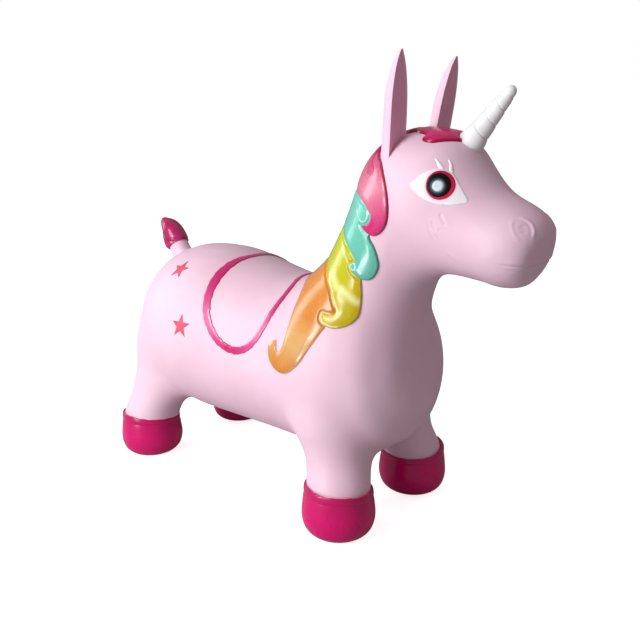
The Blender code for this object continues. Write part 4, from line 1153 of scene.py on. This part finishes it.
def saddle_material():
    nodes = Nodes("saddle_spray", Specular_IOR_Level=0.5, Coat_Weight=0.3, Coat_Roughness=0.15)
    share = nodes.math("ADD", nodes.attribute("deep"), nodes.speckle(60, 2, -0.08, 0.08))
    colour = nodes.ramp(share, [(0.0, (0.64, 0.20, 0.36)), (0.45, (0.58, 0.05, 0.21)),
                                (1.0, (0.48, 0.006, 0.12))])
    rim = nodes.spread(nodes.attribute("depth"), 0.0004, 0.0012, 0.70, 0.0)
    nodes.colour(nodes.mix(rim, colour, (0.30, 0.012, 0.08)))
    nodes.grain(90, 0.26, 0.36)
    nodes.bump(nodes.noise(700, 3), 0.00012, 0.25)
    return nodes.material


def pupil_material():
    nodes = Nodes("pupil_paint", Specular_IOR_Level=0.15)
    reach = nodes.math("ADD", nodes.attribute("reach"), nodes.speckle(400, 2, -0.0003, 0.0003))
    share = nodes.spread(reach, GLINT_RADIUS, PUPIL_RADIUS * 0.86)
    nodes.colour(nodes.ramp(share, [(0.0, (0.18, 0.23, 0.25)), (0.30, (0.030, 0.038, 0.042)),
                                    (0.65, (0.002, 0.002, 0.003))]))
    nodes.grain(300, 0.34, 0.44)
    return nodes.material


def iris_material():
    nodes = Nodes("iris_paint", Specular_IOR_Level=0.25)
    tilt = nodes.spread(nodes.along((0.0, 0.0, 1.0)), 0.385, 0.418)
    colour = nodes.ramp(tilt, [(0.0, (0.56, 0.010, 0.075)), (0.6, (0.50, 0.006, 0.055)),
                               (1.0, (0.32, 0.003, 0.035))])
    rim = nodes.spread(nodes.attribute("reach"), IRIS_RADIUS - 0.0012, IRIS_RADIUS, 0.0, 0.5)
    nodes.colour(nodes.mix(rim, colour, (0.85, 0.25, 0.36)))
    nodes.grain(300, 0.26, 0.36)
    return nodes.material


def eye_white_material():
    nodes = Nodes("eye_white_paint", Specular_IOR_Level=0.5)
    halo = nodes.spread(nodes.attribute("reach"), IRIS_RADIUS, IRIS_RADIUS + 0.0026, 0.65, 0.0)
    base = nodes.mix(nodes.speckle(90, 2), (0.80, 0.765, 0.78), (0.76, 0.725, 0.74))
    nodes.colour(nodes.mix(halo, base, (0.88, 0.52, 0.62)))
    nodes.grain(300, 0.36, 0.46)
    nodes.bump(nodes.noise(900, 2), 0.00008, 0.3)
    return nodes.material


def star_material():
    nodes = Nodes("star_paint", Specular_IOR_Level=0.5)
    share = nodes.spread(nodes.attribute("reach"), 0.002, STAR_RADIUS * 0.8)
    share = nodes.math("ADD", share, nodes.speckle(300, 2, -0.15, 0.15))
    nodes.colour(nodes.ramp(share, [(0.0, (0.62, 0.065, 0.115)), (0.6, (0.58, 0.065, 0.125)),
                                    (1.0, (0.46, 0.065, 0.14))]))
    nodes.grain(300, 0.40, 0.52)
    return nodes.material


def tail_material():
    nodes = Nodes("tail_spray_groove_shade", Specular_IOR_Level=0.3, Coat_Weight=0.2, Coat_Roughness=0.2)
    share = nodes.speckle(45, 2)
    colour = nodes.mix(share, (0.46, 0.022, 0.135), (0.34, 0.008, 0.075))
    # Painted shade: darker in the grooves between the tuft's lobes.
    groove = nodes.spread(nodes.attribute("lobe"), 0.05, 0.35, 0.75, 0.0)
    nodes.colour(nodes.mix(groove, colour, (0.17, 0.002, 0.025)))
    nodes.grain(90, 0.20, 0.30)
    nodes.bump(nodes.noise(700, 3), 0.00012, 0.25)
    return nodes.material


def horn_material():
    nodes = Nodes("horn_vinyl", Specular_IOR_Level=0.4)
    share = nodes.speckle(70, 3)
    nodes.colour(nodes.mix(share, (0.74, 0.74, 0.735), (0.69, 0.69, 0.685)))
    nodes.grain(200, 0.46, 0.58)
    nodes.bump(nodes.noise(900, 3), 0.00015, 0.4)
    return nodes.material


def lock_materials():
    """Each lock's paint and slot, by its node, with the painted highlights, painted sheen, painted
    reflections and painted shade laid on the locks. A fade runs along a direction, from one height to
    another.
    """
    up = (0, 0, 1)
    mint_highlight, lime_reflection, cream_highlight, brown_shade = (0.50, 0.78, 0.70), (0.74, 0.72, 0.32), (0.78, 0.70, 0.42), (0.42, 0.17, 0.10)
    # The forelock's dark rim is painted shade along its edge.
    crimson = gloss("forelock_spray_rim_shade", [(0.0, CRIMSON_DEEP), (0.5, CRIMSON), (1.0, (0.50, 0.004, 0.10))],
                    (1, 0, 0), 0.16, 0.21, rim=(0.22, 0.003, 0.03))
    # The poll lobe's darker rim is painted shade along its edge.
    poll = gloss("poll_spray_rim_shade", [(0.0, (0.56, 0.07, 0.17)), (1.0, (0.46, 0.025, 0.12))], up, 0.40, 0.44,
                 rim=(0.40, 0.012, 0.085))
    # The pink lock's pale middle is partly a sprayed fade and partly a painted sheen; its dark rim is painted
    # shade along its edge.
    pink = gloss("pink_lock_spray_sheen_rim_shade",
                 [(0.0, (0.50, 0.010, 0.12)), (0.22, (0.55, 0.020, 0.15)), (0.50, (0.62, 0.19, 0.27)),
                  (0.70, (0.58, 0.13, 0.22)), (1.0, (0.50, 0.035, 0.14))],
                 (-0.25, 0, 1), 0.305, 0.405, rim=(0.36, 0.006, 0.06))
    # The teal lock: mint painted highlights on its pocket, curl and streak; its darker rim is painted shade
    # along its edge.
    teal = gloss("teal_lock_spray_highlights_rim_shade",
                 [(0.0, (0.095, 0.39, 0.30)), (0.5, (0.125, 0.46, 0.36)), (1.0, (0.16, 0.52, 0.41))],
                 up, 0.30, 0.40, rim=(0.075, 0.29, 0.22),
                 lines=[("pocket", 0.0002, 0.0010, mint_highlight, 0.7), ("curl", 0.0003, 0.0012, mint_highlight, 0.9),
                        ("streak", 0.0004, 0.0018, mint_highlight, 0.8)])
    yellow = gloss("yellow_lock_spray_highlights_reflections",
                   [(0.0, (0.48, 0.34, 0.002)), (0.35, (0.47, 0.41, 0.002)), (0.70, (0.43, 0.46, 0.004)),
                    (1.0, (0.48, 0.52, 0.010))],
                   (-0.30, 0, 1), 0.20, 0.33, rim=(0.50, 0.44, 0.06), rim_width=0.0018,
                   lines=[("warm", 0.0, 0.0095, (0.52, 0.32, 0.004), 0.7),
                          # Lime painted reflections of a softbox: the bar and the glow.
                          ("bar", 0.0010, 0.0062, lime_reflection, 0.75), ("glow", 0.0010, 0.0070, lime_reflection, 0.75),
                          # Cream painted highlights: a streak, and highlights painted along the rim and the
                          # hook.
                          ("streak", 0.0002, 0.0020, cream_highlight, 0.6),
                          ("rim", 0.0003, 0.0013, cream_highlight, 0.85), ("hook", 0.0003, 0.0012, cream_highlight, 0.85)])
    # The orange lock: its paler rim is a painted highlight along its edge; its brown lines and its deep
    # orange pocket are painted shade.
    orange = gloss("orange_lock_spray_shade_highlights",
                   [(0.0, (0.50, 0.17, 0.018)), (0.08, (0.52, 0.20, 0.028)), (0.29, (0.58, 0.32, 0.115)),
                    (0.43, (0.60, 0.30, 0.085)), (0.60, (0.56, 0.20, 0.025)), (1.0, (0.60, 0.22, 0.03))],
                   up, 0.19, 0.30, rim=(0.84, 0.50, 0.26), rim_width=0.0018,
                   lines=[("rim", 0.0002, 0.0009, brown_shade, 0.7), ("curl", 0.0002, 0.0010, brown_shade, 0.6),
                          ("pocket", 0.0003, 0.0016, (0.70, 0.22, 0.03), 0.6)])
    return {"forelock": (crimson, "crimson_gloss"), "mane_lock_poll": (poll, "rose_gloss"),
            "mane_lock_pink": (pink, "rose_gloss"), "mane_lock_teal": (teal, "teal_gloss"),
            "mane_lock_yellow": (yellow, "yellow_gloss"), "mane_lock_orange": (orange, "orange_gloss")}


def build():
    form = melted_skin()
    skin = Skin(form)
    face_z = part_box("valve_plug")[0][2] + PLUG_FLANGE + CLEARANCE
    pink = vinyl("pink_vinyl_satin", PINK_BASE, PINK_DEEP, 0.60)
    make_locks(skin, lock_materials())
    make_saddle_line(skin, saddle_material())
    make_stars(skin, star_material())
    white = eye_white_material()
    red, black = iris_material(), pupil_material()
    glint = flat_paint("glint_paint_film", (0.66, 0.74, 0.76), (0.60, 0.68, 0.71), 0.3)
    lash = flat_paint("lash_paint_film", (0.88, 0.82, 0.85), (0.84, 0.77, 0.81), 0.42)
    make_eyes(skin, {"eye_white": (white, "white_paint"), "iris": (red, "red_paint"),
                     "pupil": (black, "black_paint"), "eye_glint": (glint, "glint_paint"),
                     "lash": (lash, "white_paint")})
    sculpt_face(form, face_lines(skin))
    open_valve(form, face_z)
    form.data.shade_smooth()
    form.name = "body_vinyl"
    dress(form, pink, ["body_skin"])
    crimson = gloss("hoof_spray", [(0.0, CRIMSON), (0.6, CRIMSON), (1.0, (0.45, 0.003, 0.095))], (0, 0, 1),
                    0.0, HOOF_HEIGHT, roughness=0.30, wobble=0.10, sheen=0.15)
    make_hooves(crimson)
    make_ears(vinyl("ear_vinyl_satin", PINK_BASE, PINK_DEEP, 0.60, 0.55))
    make_horn(horn_material())
    make_tail(tail_material())
    make_plug(face_z, flat_paint("plug_vinyl_white", (0.80, 0.80, 0.77), (0.74, 0.74, 0.71), 0.38))


def studio():
    """A pale floor, white surroundings, a large soft key light, a kicker behind and a low strip."""
    bm = bmesh.new()
    bmesh.ops.create_circle(bm, cap_ends=True, segments=96, radius=FLOOR_RADIUS)
    floor = piece("studio_floor", bm, smooth=False)
    nodes = Nodes("floor_paper", Specular_IOR_Level=0.2, Roughness=0.8)
    seen = nodes.add("ShaderNodeLightPath").outputs["Is Camera Ray"]
    paper = nodes.mix(nodes.speckle(3, 3), (0.90, 0.90, 0.90), (0.87, 0.87, 0.87))
    nodes.colour(nodes.mix(seen, (0.46, 0.44, 0.45), paper))
    nodes.shader.inputs["Emission Color"].default_value = (1, 1, 1, 1)
    nodes.link(nodes.math("MULTIPLY", seen, FLOOR_GLOW), nodes.shader.inputs["Emission Strength"])
    floor.data.materials.append(nodes.material)

    world = bpy.data.worlds.new("studio")
    world.use_nodes = True
    bpy.context.scene.world = world
    tree = world.node_tree
    tree.nodes.clear()
    out = tree.nodes.new("ShaderNodeOutputWorld")
    pick, kind = tree.nodes.new("ShaderNodeMixShader"), tree.nodes.new("ShaderNodeLightPath")
    tree.links.new(kind.outputs["Is Camera Ray"], pick.inputs[0])
    for index, strength, tint in ((1, ROOM_LIGHT, ROOM_TINT), (2, 1.0, (1, 1, 1, 1))):
        side = tree.nodes.new("ShaderNodeBackground")
        side.inputs["Strength"].default_value = strength
        side.inputs["Color"].default_value = tint
        tree.links.new(side.outputs[0], pick.inputs[index])
    tree.links.new(pick.outputs[0], out.inputs["Surface"])

    target = Vector(LIGHT_TARGET)
    for name, (place, size, power, tint) in LIGHTS.items():
        light = bpy.data.lights.new(name, "AREA")
        light.shape = "RECTANGLE"
        light.size, light.size_y = size
        light.energy = power
        light.color = tint
        lamp = bpy.data.objects.new(name, light)
        bpy.context.scene.collection.objects.link(lamp)
        lamp.location = place
        lamp.rotation_euler = (target - Vector(place)).to_track_quat("-Z", "Y").to_euler()

    lens = bpy.data.cameras.new("camera")
    lens.lens = CAMERA_LENS
    lens.sensor_width = 36
    camera = bpy.data.objects.new("camera", lens)
    bpy.context.scene.collection.objects.link(camera)
    camera.location = CAMERA_PLACE
    camera.rotation_euler = (math.radians(90 - CAMERA_ELEVATION), 0, math.radians(CAMERA_AZIMUTH))
    bpy.context.scene.camera = camera
    bpy.context.scene.view_settings.view_transform = "Standard"


build()
studio()
